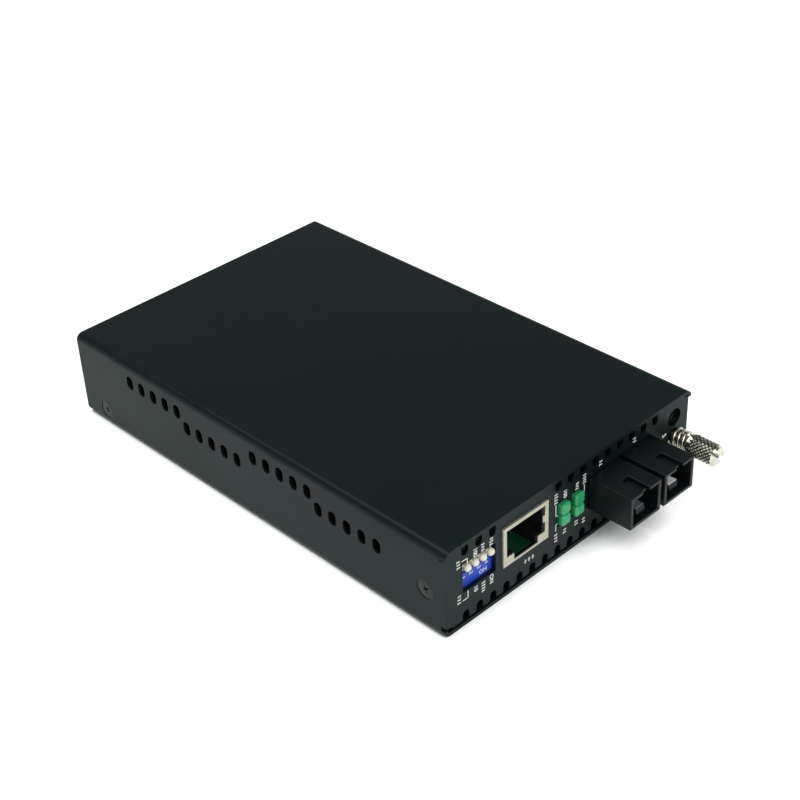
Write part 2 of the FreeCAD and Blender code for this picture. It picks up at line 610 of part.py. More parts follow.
JACK_FRONT = f"({PANEL} - Sizes.jack_proud)"
PLUG_FLOOR = f"({BOARD_TOP} + Sizes.plug_base)"


def make_jack_shield():
    """A folded shell, open below, whose front face frames the plug opening."""
    body = new_body("JackShield")
    left = f"({JACK_X} - Sizes.jack_width / 2)"
    right = f"({JACK_X} + Sizes.jack_width / 2)"
    top = f"({BOARD_TOP} + Sizes.jack_height)"
    outside = new_sketch(body, "ShieldOutside", "XZ_Plane", f"-{JACK_FRONT}")
    draw_outline(outside, rectangle(left, BOARD_TOP, right, top))
    pad(body, outside, "Sizes.jack_depth", backwards=True)
    inside = new_sketch(body, "ShieldInside", "XZ_Plane", f"-({JACK_FRONT} + Sizes.jack_sheet)")
    draw_outline(inside, rectangle(f"({left} + Sizes.jack_sheet)", f"({BOARD_TOP} - 1)",
                                   f"({right} - Sizes.jack_sheet)", f"({top} - Sizes.jack_sheet)"))
    pocket(body, inside, "Sizes.jack_depth - 2 * Sizes.jack_sheet")

    # The opening steps down for the plug's latch, and one small tab grips the plug's side.
    opening = new_sketch(body, "ShieldOpening", "XZ_Plane", f"-{JACK_FRONT}")
    plug_left = f"({JACK_X} - Sizes.plug_width / 2)"
    plug_right = f"({JACK_X} + Sizes.plug_width / 2)"
    latch_left = f"({JACK_X} - Sizes.latch_width / 2)"
    latch_right = f"({JACK_X} + Sizes.latch_width / 2)"
    ledge = f"({BOARD_TOP} + Sizes.latch_ledge)"
    ceiling = f"({PLUG_FLOOR} + Sizes.plug_height)"
    tab_low = f"({BOARD_TOP} + Sizes.shield_tab_z - Sizes.shield_tab_height / 2)"
    tab_high = f"({BOARD_TOP} + Sizes.shield_tab_z + Sizes.shield_tab_height / 2)"
    tab_end = f"({plug_right} - Sizes.shield_tab_reach)"
    draw_outline(opening, [
        (plug_left, PLUG_FLOOR), (latch_left, PLUG_FLOOR), (latch_left, ledge),
        (latch_right, ledge), (latch_right, PLUG_FLOOR), (plug_right, PLUG_FLOOR),
        (plug_right, tab_low), (tab_end, tab_low), (tab_end, tab_high), (plug_right, tab_high),
        (plug_right, ceiling), (plug_left, ceiling),
    ])
    pocket(body, opening, "Sizes.jack_sheet")
    node("jack_shield", body)


def make_jack_housing():
    side = "(Sizes.jack_width / 2 - Sizes.jack_sheet - Sizes.jack_fit)"
    front = f"({JACK_FRONT} + Sizes.jack_sheet + Sizes.jack_fit)"
    outside = block("JackBlock", (f"{JACK_X} - {side}", front, BOARD_TOP), (
        f"2 * {side}", "Sizes.jack_depth - 2 * Sizes.jack_sheet - 2 * Sizes.jack_fit",
        "Sizes.jack_height - Sizes.jack_sheet - Sizes.jack_fit"))
    cavity = block("PlugCavity", (f"{JACK_X} - Sizes.plug_width / 2", front, PLUG_FLOOR),
                   ("Sizes.plug_width", "Sizes.plug_depth", "Sizes.plug_height"))
    channel = block("LatchChannel", (f"{JACK_X} - Sizes.latch_width / 2", front, BOARD_TOP),
                    ("Sizes.latch_width", "Sizes.latch_depth", "Sizes.plug_base"))
    node("jack_housing", carve("JackHousing", outside, [cavity, channel]))


def make_jack_contacts():
    """Eight spring wires that slope from the roof of the cavity to its end."""
    wires = []
    middle = (JACK_CONTACTS - 1) / 2
    roof = f"({PLUG_FLOOR} + Sizes.plug_height)"
    end = f"({JACK_FRONT} + Sizes.jack_sheet + Sizes.jack_fit + Sizes.plug_depth)"
    for index in range(JACK_CONTACTS):
        wire = doc.addObject("Part::Box", f"Contact{index}")
        bind(wire, Length="Sizes.contact_width", Width="Sizes.contact_length",
             Height="Sizes.contact_thickness")
        place(wire, f"{JACK_X} + {index - middle} * Sizes.contact_pitch - Sizes.contact_width / 2",
              f"{end} - Sizes.contact_length * cos(Sizes.contact_tilt) "
              "- Sizes.contact_thickness * sin(Sizes.contact_tilt)",
              f"{roof} - Sizes.contact_thickness * cos(Sizes.contact_tilt)")
        wire.Placement.Rotation = FreeCAD.Rotation(FreeCAD.Vector(1, 0, 0), -value("Sizes.contact_tilt"))
        wires.append(wire)
    node("jack_contacts", group("JackContacts", wires))


# The four-way switch

SWITCH_FRONT = f"({PANEL_BACK} + Sizes.switch_gap)"
PIVOT_Y = f"({SWITCH_FRONT} + Sizes.pivot_inset)"
PIVOT_Z = f"({BOARD_TOP} + Sizes.pivot_height)"
LEVER_Z = f"({BOARD_TOP} + Sizes.lever_height)"


def lever_x(way):
    return f"({SWITCH_X} + {way - (SWITCH_WAYS - 1) / 2} * Sizes.switch_pitch)"


def make_switch_body():
    """A block with one channel per lever, open at its front and its top."""
    outside = block("SwitchBlock", (f"{SWITCH_X} - Sizes.switch_width / 2", SWITCH_FRONT, BOARD_TOP),
                    ("Sizes.switch_width", "Sizes.switch_depth", "Sizes.switch_height"))
    half = "(Sizes.lever_width / 2 + Sizes.lever_play)"
    floor = f"({PIVOT_Z} - Sizes.boss_radius - Sizes.boss_room)"
    channels = [
        block(f"LeverChannel{way}", (f"{lever_x(way)} - {half}", SWITCH_FRONT, floor),
              (f"2 * {half}", "Sizes.pivot_inset + Sizes.boss_radius + 2 * Sizes.lever_play",
               "Sizes.switch_height"))
        for way in range(SWITCH_WAYS)]
    bore = pivot_rod("PivotBore")
    node("switch_body", carve("SwitchBody", outside, channels + [bore]))


def pivot_rod(name):
    span = f"({SWITCH_WAYS} * Sizes.switch_pitch)"
    return rod(name, "X", (f"{SWITCH_X} - {span} / 2", PIVOT_Y, PIVOT_Z), "Sizes.pivot_radius", span)


def make_levers():
    half = "(Sizes.lever_width / 2)"
    end = f"({PANEL} - Sizes.lever_proud + Sizes.lever_radius)"
    arm_front = f"({PANEL_BACK} - Sizes.arm_reach)"
    arm_back = f"({PIVOT_Y} + Sizes.boss_radius * 0.9)"
    for way in range(SWITCH_WAYS):
        x = lever_x(way)
        boss = rod(f"Boss{way}", "X", (f"{x} - {half}", PIVOT_Y, PIVOT_Z), "Sizes.boss_radius",
                   "Sizes.lever_width")
        web = block(f"Web{way}", (f"{x} - {half}", f"{PIVOT_Y} - Sizes.web_width / 2", PIVOT_Z),
                    ("Sizes.lever_width", "Sizes.web_width", f"{LEVER_Z} - {PIVOT_Z}"))
        arm = block(f"Arm{way}", (f"{x} - {half}", arm_front, f"{LEVER_Z} - {half}"),
                    ("Sizes.lever_width", f"{arm_back} - {arm_front}", "Sizes.lever_width"))
        finger = rod(f"Finger{way}", "Y", (x, end, LEVER_Z), "Sizes.lever_radius",
                     f"{arm_front} - {end} + {half}")
        tip = doc.addObject("Part::Sphere", f"Tip{way}")
        bind(tip, Radius="Sizes.lever_radius")
        place(tip, x, end, LEVER_Z)
        bore = rod(f"LeverBore{way}", "X", (f"{x} - {half}", PIVOT_Y, PIVOT_Z),
                   "Sizes.pivot_radius + Sizes.pivot_play", "Sizes.lever_width")
        lever = fuse(f"LeverForm{way}", [boss, web, arm, finger, tip])
        node(f"switch_lever_{way + 1}", carve(f"Lever{way}", lever, [bore]))


def make_switch_hardware():
    node("switch_pivot", pivot_rod("SwitchPivot"))
    pins = [board_pin(f"SwitchPin{index}", x, y) for index, (x, y) in enumerate(switch_pin_spots())]
    node("switch_pins", group("SwitchPins", pins))


# The signal lamps

def lamp_sides(column):
    middle = f"(Sizes.lamp_x + {column - 0.5} * Sizes.lamp_column_pitch)"
    return f"({middle} - Sizes.lamp_width / 2)", f"({middle} + Sizes.lamp_width / 2)"


def lamp_ends(level):
    low = f"({BOARD_TOP} + Sizes.lamp_base + {level} * (Sizes.lamp_height + Sizes.lamp_row_gap))"
    return low, f"({low} + Sizes.lamp_height)"


LAMP_TIP = f"({PANEL} - Sizes.lamp_proud)"
LAMP_BACK = f"({LAMP_TIP} + Sizes.lamp_length)"
HOLDER_FRONT = f"({PANEL_BACK} + Sizes.holder_gap)"
HOLDER_BACK = f"({HOLDER_FRONT} + Sizes.lamp_holder_depth)"


def lamp_positions():
    for column, side in enumerate(("left", "right")):
        for level, place_name in enumerate(("lower", "upper")):
            yield column, level, f"lamp_{side}_{place_name}"


def make_lamps():
    for column, level, name in lamp_positions():
        left, right = lamp_sides(column)
        low, high = lamp_ends(level)
        body = new_body(f"Lamp{column}{level}")
        face = new_sketch(body, f"LampFace{column}{level}", "XZ_Plane", f"-{LAMP_TIP}")
        draw_outline(face, rectangle(left, low, right, high, "Sizes.lamp_corner"))
        pad(body, face, "Sizes.lamp_length", backwards=True)
        round_edges(body, "Sizes.lamp_round", lambda middle: close(middle.y, LAMP_TIP))
        node(name, body)


def make_lamp_holder():
    left, right = lamp_sides(0)[0], lamp_sides(1)[1]
    top = lamp_ends(1)[1]
    wall = "Sizes.lamp_holder_wall"
    outside = block("HolderBlock", (f"{left} - {wall}", HOLDER_FRONT, BOARD_TOP),
                    (f"{right} - {left} + 2 * {wall}", "Sizes.lamp_holder_depth",
                     f"{top} - {BOARD_TOP} + {wall}"))
    pockets = []
    for column, level, name in lamp_positions():
        low = lamp_ends(level)[0]
        pockets.append(block(f"Pocket{column}{level}", (lamp_sides(column)[0], HOLDER_FRONT, low),
                             ("Sizes.lamp_width", f"{LAMP_BACK} - {HOLDER_FRONT}", "Sizes.lamp_height")))
    pockets += lead_pieces("Passage")
    node("lamp_holder", carve("LampHolder", outside, pockets))


def lead_pieces(prefix):
    """Two wires per lamp, out through the back of the holder and down through the board."""
    half = "(Sizes.lamp_lead / 2)"
    pieces = []
    for column, level, name in lamp_positions():
        middle_z = f"({lamp_ends(level)[0]} + Sizes.lamp_height / 2)"
        bend_y = f"({HOLDER_BACK} + Sizes.lead_bend + {level} * Sizes.lead_step)"
        for side in (-0.5, 0.5):
            x = f"({lamp_sides(column)[0]} + Sizes.lamp_width / 2 + {side} * Sizes.lamp_lead_pitch)"
            tag = f"{prefix}{column}{level}{'L' if side < 0 else 'R'}"
            out = block(f"{tag}Out", (f"{x} - {half}", LAMP_BACK, f"{middle_z} - {half}"),
                        ("Sizes.lamp_lead", f"{bend_y} + {half} - {LAMP_BACK}", "Sizes.lamp_lead"))
            if prefix == "Passage":
                pieces.append(out)
                continue
            down = block(f"{tag}Down", (f"{x} - {half}", f"{bend_y} - {half}", BOARD_TOP),
                         ("Sizes.lamp_lead", "Sizes.lamp_lead", f"{middle_z} + {half} - {BOARD_TOP}"))
            pieces.append(fuse(tag, [out, down]))
    return pieces


def make_lamp_leads():
    node("lamp_leads", group("LampLeads", lead_pieces("Lead")))


# The duplex optical transceiver

PORT_FRONT = f"({PANEL} - Sizes.port_proud)"
PORT_FLOOR = f"({PORT_FRONT} + Sizes.port_cavity_depth)"
PORT_AXIS_Z = f"({BOARD_TOP} + Sizes.port_height / 2)"
OPTICS_FRONT = f"({PANEL_BACK} + Sizes.optics_gap)"


def port_centre(side):
    return f"(Sizes.port_x + {side} * Sizes.port_pitch / 2)"


def make_transceiver():
    """Two square noses with keyways, in front of one housing that stands on the board."""
    forms = [block("OpticsBlock", ("Sizes.port_x - Sizes.optics_width / 2", OPTICS_FRONT, BOARD_TOP),
                   ("Sizes.optics_width", "Sizes.optics_depth", "Sizes.optics_height"))]
    hollows = []
    for side in (-1, 1):
        x = port_centre(side)
        tag = "Left" if side < 0 else "Right"
        forms.append(block(f"Nose{tag}", (f"{x} - Sizes.port_width / 2", PORT_FRONT, BOARD_TOP),
                           ("Sizes.port_width", f"{OPTICS_FRONT} - {PORT_FRONT}", "Sizes.port_height")))
        hollows.append(block(f"Cavity{tag}", (
            f"{x} - Sizes.port_cavity_width / 2", PORT_FRONT,
            f"{PORT_AXIS_Z} - Sizes.port_cavity_height / 2"),
            ("Sizes.port_cavity_width", "Sizes.port_cavity_depth", "Sizes.port_cavity_height")))
        hollows.append(block(f"Keyway{tag}", (
            f"{x} - Sizes.keyway_width / 2", PORT_FRONT, PORT_AXIS_Z),
            ("Sizes.keyway_width", "Sizes.keyway_length", "Sizes.port_height")))
    node("transceiver_housing", carve("TransceiverHousing", fuse("TransceiverForm", forms), hollows))


def make_port_latch(side, name):
    """A moulded plate at the end of the port, with a hooked arm above and below the plug."""
    body = new_body(f"Latch{name}")
    outer = "(Sizes.port_cavity_height / 2 - Sizes.hook_gap)"
    inner = f"({outer} - Sizes.hook_thickness)"
    grip = "(Sizes.hook_opening / 2)"
    tip = "(-Sizes.hook_length)"
    shoulder = f"({tip} + Sizes.hook_head)"
    ramp = f"({tip} + Sizes.hook_ramp)"
    base = "(-Sizes.hook_base)"
    upper = [("0", outer), (tip, outer), (tip, inner), (ramp, grip), (shoulder, grip),
             (shoulder, inner), (base, inner)]
    lower = [(y, f"-{z}") for y, z in reversed(upper)]
    arms = new_sketch(body, f"LatchArms{name}", "YZ_Plane")
    draw_outline(arms, upper + lower)
    pad(body, arms, "Sizes.hook_width", both_ways=True)
    plate = new_sketch(body, f"LatchPlate{name}", "XZ_Plane")
    half = "(Sizes.port_cavity_width / 2 - Sizes.hook_gap)"
    draw_outline(plate, rectangle(f"-{half}", f"-{outer}", half, outer))
    pad(body, plate, "Sizes.hook_base")
    bore = new_sketch(body, f"LatchBore{name}", "XZ_Plane", "Sizes.hook_base")
    draw_circle(bore, "0", "0", "Sizes.bore_sleeve_radius")
    pocket(body, bore, "Sizes.hook_base")
    place(body, port_centre(side), PORT_FLOOR, PORT_AXIS_Z)
    node(f"port_latch_{name.lower()}", body)


def make_port_sleeve(side, name):
    start = (port_centre(side), f"{PORT_FLOOR} - Sizes.bore_sleeve_length", PORT_AXIS_Z)
    outside = rod(f"SleeveOut{name}", "Y", start, "Sizes.bore_sleeve_radius", "Sizes.bore_sleeve_length")
    bore = rod(f"SleeveBore{name}", "Y", start, "Sizes.bore_sleeve_bore",
               "Sizes.bore_sleeve_length - Sizes.bore_sleeve_floor")
    node(f"port_sleeve_{name.lower()}", carve(f"PortSleeve{name}", outside, [bore]))


def make_optics_pins():
    pins = [board_pin(f"OpticsPin{index}", x, y) for index, (x, y) in enumerate(optics_pin_spots())]
    node("transceiver_pins", group("TransceiverPins", pins))


# The power inlet

INLET_Z = f"({BOARD_TOP} + Sizes.inlet_axis_height)"
INLET_BACK = f"({REAR_PANEL_INSIDE} - Sizes.inlet_gap)"
INLET_END = f"({REAR_PANEL} - Sizes.inlet_bore_depth)"


def make_inlet():
    shell = block("InletBlock", ("Sizes.inlet_x - Sizes.inlet_width / 2",
                                 f"{INLET_BACK} - Sizes.inlet_depth", BOARD_TOP),
                  ("Sizes.inlet_width", "Sizes.inlet_depth", "Sizes.inlet_height"))
    collar = rod("InletCollar", "Y", ("Sizes.inlet_x", INLET_BACK, INLET_Z), "Sizes.inlet_collar",
                 f"{REAR_PANEL} - {INLET_BACK}")
    bore = rod("InletBore", "Y", ("Sizes.inlet_x", INLET_END, INLET_Z), "Sizes.inlet_bore",
               "Sizes.inlet_bore_depth")
    slot = blade("BladeSlot", "Sizes.inlet_bore")
    node("inlet_housing", carve("InletHousing", fuse("InletForm", [shell, collar]), [bore, slot]))

    pin = rod("InletPinRod", "Y", ("Sizes.inlet_x", INLET_END, INLET_Z), "Sizes.inlet_pin",
              "Sizes.inlet_pin_length")
    node("inlet_pin", pin)
    node("inlet_contact", blade("InletContact", "Sizes.blade_thickness"))


def blade(name, height):
    """The contact strip under the bore, or the slot that it lies in."""
    return block(name, ("Sizes.inlet_x - Sizes.blade_width / 2", INLET_END,
                        f"{INLET_Z} - Sizes.inlet_bore - Sizes.blade_thickness / 2"),
                 ("Sizes.blade_width", "Sizes.blade_length", height))


# The captive screw

SCREW_HEAD_BASE = f"({PANEL} - Sizes.thumb_gap)"
SCREW_TIP = f"({SCREW_HEAD_BASE} - Sizes.thumb_head_length)"
BLOCK_BACK = f"({PANEL_BACK} + Sizes.block_thickness)"


def make_screw_block():
    """The plate behind the panel that guides the shank and closes the round recess."""
    plate = block("BlockPlate", (f"{THUMB_X} - Sizes.block_width / 2", PANEL_BACK,
                                 "Sizes.block_bottom"),
                  ("Sizes.block_width", "Sizes.block_thickness",
                   "Sizes.block_top - Sizes.block_bottom"))
    bore = rod("BlockBore", "Y", (THUMB_X, PANEL_BACK, "Sizes.thumb_z"),
               "Sizes.block_bore", "Sizes.block_thickness")
    recess = rod("BlockRecess", "Y", (THUMB_X, PANEL_BACK, "Sizes.recess_z"),
                 "Sizes.recess_radius", "Sizes.recess_depth")
    node("screw_block", carve("ScrewBlock", plate, [bore, recess]))


def make_thumbscrew():
    """Head, shank and clip groove turned as one piece, with a driver slot across the head."""
    body = new_body("Thumbscrew")
    profile = new_sketch(body, "ThumbProfile", "XY_Plane")
    end = f"({SCREW_HEAD_BASE} + Sizes.shank_length)"
    bevel = "Sizes.thumb_chamfer"
    groove_front = f"({BLOCK_BACK} - Sizes.groove_play)"
    groove_back = f"({BLOCK_BACK} + Sizes.clip_thickness + Sizes.groove_play)"
    draw_outline(profile, [
        ("0", SCREW_TIP), (f"(Sizes.thumb_radius - {bevel})", SCREW_TIP),
        ("Sizes.thumb_radius", f"({SCREW_TIP} + {bevel})"),
        ("Sizes.thumb_radius", f"({SCREW_HEAD_BASE} - {bevel} / 2)"),
        (f"(Sizes.thumb_radius - {bevel} / 2)", SCREW_HEAD_BASE),
        ("Sizes.shank_radius", SCREW_HEAD_BASE), ("Sizes.shank_radius", groove_front),
        ("Sizes.groove_radius", groove_front), ("Sizes.groove_radius", groove_back),
        ("Sizes.shank_radius", groove_back), ("Sizes.shank_radius", f"({end} - {bevel})"),
        (f"(Sizes.shank_radius - {bevel})", end), ("0", end),
    ])
    turn = body.newObject("PartDesign::Revolution", "ThumbTurn")
    turn.Profile = profile
    turn.ReferenceAxis = (origin_part(body, "Y_Axis"), [""])
    turn.Angle = 360
    slot = new_sketch(body, "ThumbSlot", "XZ_Plane", f"-{SCREW_TIP}")
    half = "(Sizes.thumb_slot_width / 2)"
    long_half = "(Sizes.thumb_radius + 1)"
    draw_outline(slot, rectangle(f"-{half}", f"-{long_half}", half, long_half))
    doc.recompute()
    pocket(body, slot, "Sizes.thumb_slot_depth")
    place(body, THUMB_X, "0", "Sizes.thumb_z")
    node("thumbscrew", body)


def make_thumbscrew_spring():
    """An open coil between the front plate and the head; its wire is drawn six-sided."""
    body = new_body("Spring")
    wire = new_sketch(body, "SpringWire", "XY_Plane")
    first = f"({SCREW_HEAD_BASE} + Sizes.coil_wire)"
    point = "(Sizes.coil_wire / cos(30))"
    draw_outline(wire, [
        (f"(Sizes.coil_radius + {point} * {across})", f"({first} + Sizes.coil_wire * {along})")
        for across, along in ((1, 0), (0.5, 1), (-0.5, 1), (-1, 0), (-0.5, -1), (0.5, -1))])
    coil = body.newObject("PartDesign::AdditiveHelix", "SpringCoil")
    coil.Profile = wire
    coil.ReferenceAxis = (origin_part(body, "Y_Axis"), [""])
    coil.Mode = 1
    bind(coil, Height="Sizes.thumb_gap - 2 * Sizes.coil_wire",
         Pitch="(Sizes.thumb_gap - 2 * Sizes.coil_wire) / Sizes.coil_turns",
         Turns="Sizes.coil_turns")
    place(body, THUMB_X, "0", "Sizes.thumb_z")
    node("thumbscrew_spring", body)


def make_retaining_clip():
    start = (THUMB_X, BLOCK_BACK, "Sizes.thumb_z")
    disc = rod("ClipDisc", "Y", start, "Sizes.clip_radius", "Sizes.clip_thickness")
    bore = rod("ClipBore", "Y", start, "Sizes.clip_bore", "Sizes.clip_thickness")
    mouth = block("ClipMouth", (f"{THUMB_X} - Sizes.clip_mouth / 2", BLOCK_BACK,
                                "Sizes.thumb_z - Sizes.clip_radius"),
                  ("Sizes.clip_mouth", "Sizes.clip_thickness", "Sizes.clip_radius"))
    node("retaining_clip", carve("RetainingClip", disc, [bore, mouth]))


# Parts that stand on the board

def on_board(name, x, y, width, depth, height):
    return block(name, (f"{x} - {width} / 2", f"{y} - {depth} / 2", BOARD_TOP), (width, depth, height))


def make_board_parts():
    node("main_chip", on_board("MainChip", "Sizes.chip_x", "Sizes.chip_y", "Sizes.chip_size",
                               "Sizes.chip_size", "Sizes.chip_height"))
    node("line_transformer", on_board(
        "LineTransformer", "Sizes.transformer_x", "Sizes.transformer_y",
        "Sizes.transformer_width", "Sizes.transformer_depth", "Sizes.transformer_height"))
    case = on_board("RegulatorCase", "Sizes.regulator_x", "Sizes.regulator_y",
                    "Sizes.regulator_size", "Sizes.regulator_size", "Sizes.regulator_height")
    tab = block("RegulatorTab", ("Sizes.regulator_x - Sizes.regulator_tab_width / 2",
                                 "Sizes.regulator_y + Sizes.regulator_size / 2", BOARD_TOP),
                ("Sizes.regulator_tab_width", "Sizes.regulator_tab", "Sizes.regulator_tab_height"))
    node("voltage_regulator", fuse("VoltageRegulator", [case, tab]))
    base = on_board("InductorBase", "Sizes.inductor_x", "Sizes.inductor_y", "Sizes.inductor_size",
                    "Sizes.inductor_size", "Sizes.inductor_base")
    drum = rod("InductorDrum", "Z", ("Sizes.inductor_x", "Sizes.inductor_y", BOARD_TOP),
               "Sizes.inductor_drum", "Sizes.inductor_height")
    node("power_inductor", fuse("PowerInductor", [base, drum]))
    cans = [rod(f"Can{index}", "Z", (f"Sizes.capacitor_x + {index} * Sizes.capacitor_pitch",
                                     "Sizes.capacitor_y", BOARD_TOP),
                "Sizes.capacitor_radius", "Sizes.capacitor_height") for index in range(2)]
    node("bulk_capacitors", group("BulkCapacitors", cans))
    half = "(Sizes.crystal_width / 2 - Sizes.crystal_depth / 2)"
    ends = [rod(f"CrystalEnd{sign}", "Z", (f"Sizes.crystal_x + {sign} * {half}", "Sizes.crystal_y",
                                           BOARD_TOP), "Sizes.crystal_depth / 2",
                "Sizes.crystal_height") for sign in (-1, 1)]
    middle = on_board("CrystalMiddle", "Sizes.crystal_x", "Sizes.crystal_y", f"(2 * {half})",
                      "Sizes.crystal_depth", "Sizes.crystal_height")
    node("clock_crystal", fuse("ClockCrystal", ends + [middle]))


def check_and_write():
    doc.recompute()
    for thing in doc.Objects:
        if "Invalid" in thing.State or "Error" in thing.State:
            raise ValueError(f"{thing.Name} ({thing.Label}) failed: {thing.State}")
    os.makedirs("parts", exist_ok=True)
    for name, thing in nodes.items():
        shape = thing.Shape
        if shape.isNull() or not shape.isValid() or not shape.Solids:
            raise ValueError(f"{name} has no valid solid")
        shape.exportStep(os.path.join("parts", f"{name}.step"))
        print(f"{name}: {len(shape.Solids)} solid(s), {shape.Volume:.1f} mm3")


make_sleeve()
make_case_screws()
make_tray()
make_board()
make_board_supports()
make_jack_shield()
make_jack_housing()
make_jack_contacts()
make_switch_body()
make_levers()
make_switch_hardware()
make_lamps()
make_lamp_holder()
make_lamp_leads()
make_transceiver()
for port_side, port_name in ((-1, "Left"), (1, "Right")):
    make_port_latch(port_side, port_name)
    make_port_sleeve(port_side, port_name)
make_optics_pins()
make_inlet()
make_screw_block()
make_thumbscrew()
make_thumbscrew_spring()
make_retaining_clip()
make_board_parts()
check_and_write()
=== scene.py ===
# %% [markdown]
# # A fibre media converter
# The real thing is a flat black steel box that turns network signals on copper wires into light
# and back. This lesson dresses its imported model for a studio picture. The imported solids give
# every size and place, and each step either finishes a solid or makes a finer piece for it.

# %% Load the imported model
import json
import math
import random

import bmesh
import bpy
from mathutils import Matrix, Vector


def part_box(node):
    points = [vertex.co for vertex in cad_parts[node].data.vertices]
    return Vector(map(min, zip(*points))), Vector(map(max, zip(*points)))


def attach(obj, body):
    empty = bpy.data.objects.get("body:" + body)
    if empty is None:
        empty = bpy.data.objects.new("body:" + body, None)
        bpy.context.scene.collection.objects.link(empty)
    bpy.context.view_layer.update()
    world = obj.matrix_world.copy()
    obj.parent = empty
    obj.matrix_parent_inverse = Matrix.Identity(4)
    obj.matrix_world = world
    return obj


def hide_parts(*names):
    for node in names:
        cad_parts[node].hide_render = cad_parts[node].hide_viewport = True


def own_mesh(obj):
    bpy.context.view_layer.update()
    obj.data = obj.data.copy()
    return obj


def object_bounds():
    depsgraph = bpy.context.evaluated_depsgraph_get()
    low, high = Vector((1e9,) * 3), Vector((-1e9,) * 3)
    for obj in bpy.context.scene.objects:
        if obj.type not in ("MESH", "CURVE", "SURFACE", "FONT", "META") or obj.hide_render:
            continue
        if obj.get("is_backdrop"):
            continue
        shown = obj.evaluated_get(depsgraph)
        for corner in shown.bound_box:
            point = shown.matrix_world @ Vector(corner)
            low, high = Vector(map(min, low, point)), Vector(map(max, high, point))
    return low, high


MM = 0.001
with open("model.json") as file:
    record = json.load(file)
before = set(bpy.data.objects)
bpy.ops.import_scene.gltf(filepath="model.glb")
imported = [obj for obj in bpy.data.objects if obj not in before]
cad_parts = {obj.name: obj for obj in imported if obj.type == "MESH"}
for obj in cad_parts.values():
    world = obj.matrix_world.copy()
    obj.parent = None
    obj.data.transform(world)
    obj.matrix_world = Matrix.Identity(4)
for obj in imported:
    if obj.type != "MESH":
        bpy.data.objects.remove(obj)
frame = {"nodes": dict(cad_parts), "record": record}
cad_box = [list(corner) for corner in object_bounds()]
slot_of = {part["node"]: part["material_slot"] for part in frame["record"]["subparts"]}
body_of = {node: body for body, nodes in frame["record"]["behaviour"]["bodies"].items()
           for node in nodes}


def in_mm(corners):
    """Points in metres as rounded millimetres, for printing."""
    return [[round(number / MM, 2) for number in corner] for corner in corners]


print("solids:", len(frame["nodes"]), "box in mm:", in_mm(cad_box))

# %% [markdown]
# ## One finish recipe for every surface
# Paint, moulded plastic and plated metal all vary a little from place to place: in tone, in
# gloss and in a fine grain that bends the light. Image textures could carry this, but noise that
# is worked out from the surface's own place needs no unwrapping and stays sharp close up. One
# shared node group makes these three, and each material sets its own amounts. Stretching its
# pattern along one axis gives the fine lines of rolled or brushed metal. The shader itself stays
# in each material.

# %% Helpers that build node trees
def add_node(tree, kind, settings=(), values=()):
    """A node of this kind, with its own settings and the values of its open sockets."""
    node = tree.nodes.new(kind)
    for label, setting in dict(settings).items():
        setattr(node, label, setting)
    for socket, value in dict(values).items():
        node.inputs[socket].default_value = value
    return node


def link(tree, *pairs):
    """Join each start socket to its end socket."""
    for start, end in pairs:
        tree.links.new(start, end)


def emptied(owner):
    """The node tree of a material or world, cleared of the nodes it starts with."""
    owner.use_nodes = True
    owner.node_tree.nodes.clear()
    return owner.node_tree


def new_group(name, inputs, outputs):
    """A shader node group with named sockets, and its two end nodes."""
    group = bpy.data.node_groups.new(name, "ShaderNodeTree")
    for label, kind, default in inputs:
        socket = group.interface.new_socket(label, in_out="INPUT", socket_type=kind)
        socket.default_value = default
    for label, kind in outputs:
        group.interface.new_socket(label, in_out="OUTPUT", socket_type=kind)
    return group, group.nodes.new("NodeGroupInput"), group.nodes.new("NodeGroupOutput")


# %% The shared surface group
surface, entry, leave = new_group("uneven_surface", [
    ("Colour", "NodeSocketColor", (0.5, 0.5, 0.5, 1)),
    ("Second Colour", "NodeSocketColor", (0.4, 0.4, 0.4, 1)),
    ("Stretch", "NodeSocketVector", (1, 1, 1)),
    ("Patch Scale", "NodeSocketFloat", 40),
    ("Grain Scale", "NodeSocketFloat", 3000),
    ("Roughness", "NodeSocketFloat", 0.4),
    ("Roughness Spread", "NodeSocketFloat", 0.1),
], [
    ("Colour", "NodeSocketColor"),
    ("Roughness", "NodeSocketFloat"),
    ("Height", "NodeSocketFloat"),
])
place = add_node(surface, "ShaderNodeTexCoord")
stretched = add_node(surface, "ShaderNodeVectorMath", {"operation": "MULTIPLY"})
patches = add_node(surface, "ShaderNodeTexNoise", values={"Detail": 4})
grain = add_node(surface, "ShaderNodeTexNoise", values={"Detail": 2})
contrast = add_node(surface, "ShaderNodeMapRange", values={"From Min": 0.3, "From Max": 0.7})
blend_colours = add_node(surface, "ShaderNodeMix", {"data_type": "RGBA"})
centred = add_node(surface, "ShaderNodeMath", {"operation": "SUBTRACT"}, {1: 0.5})
rough = add_node(surface, "ShaderNodeMath", {"operation": "MULTIPLY_ADD", "use_clamp": True})
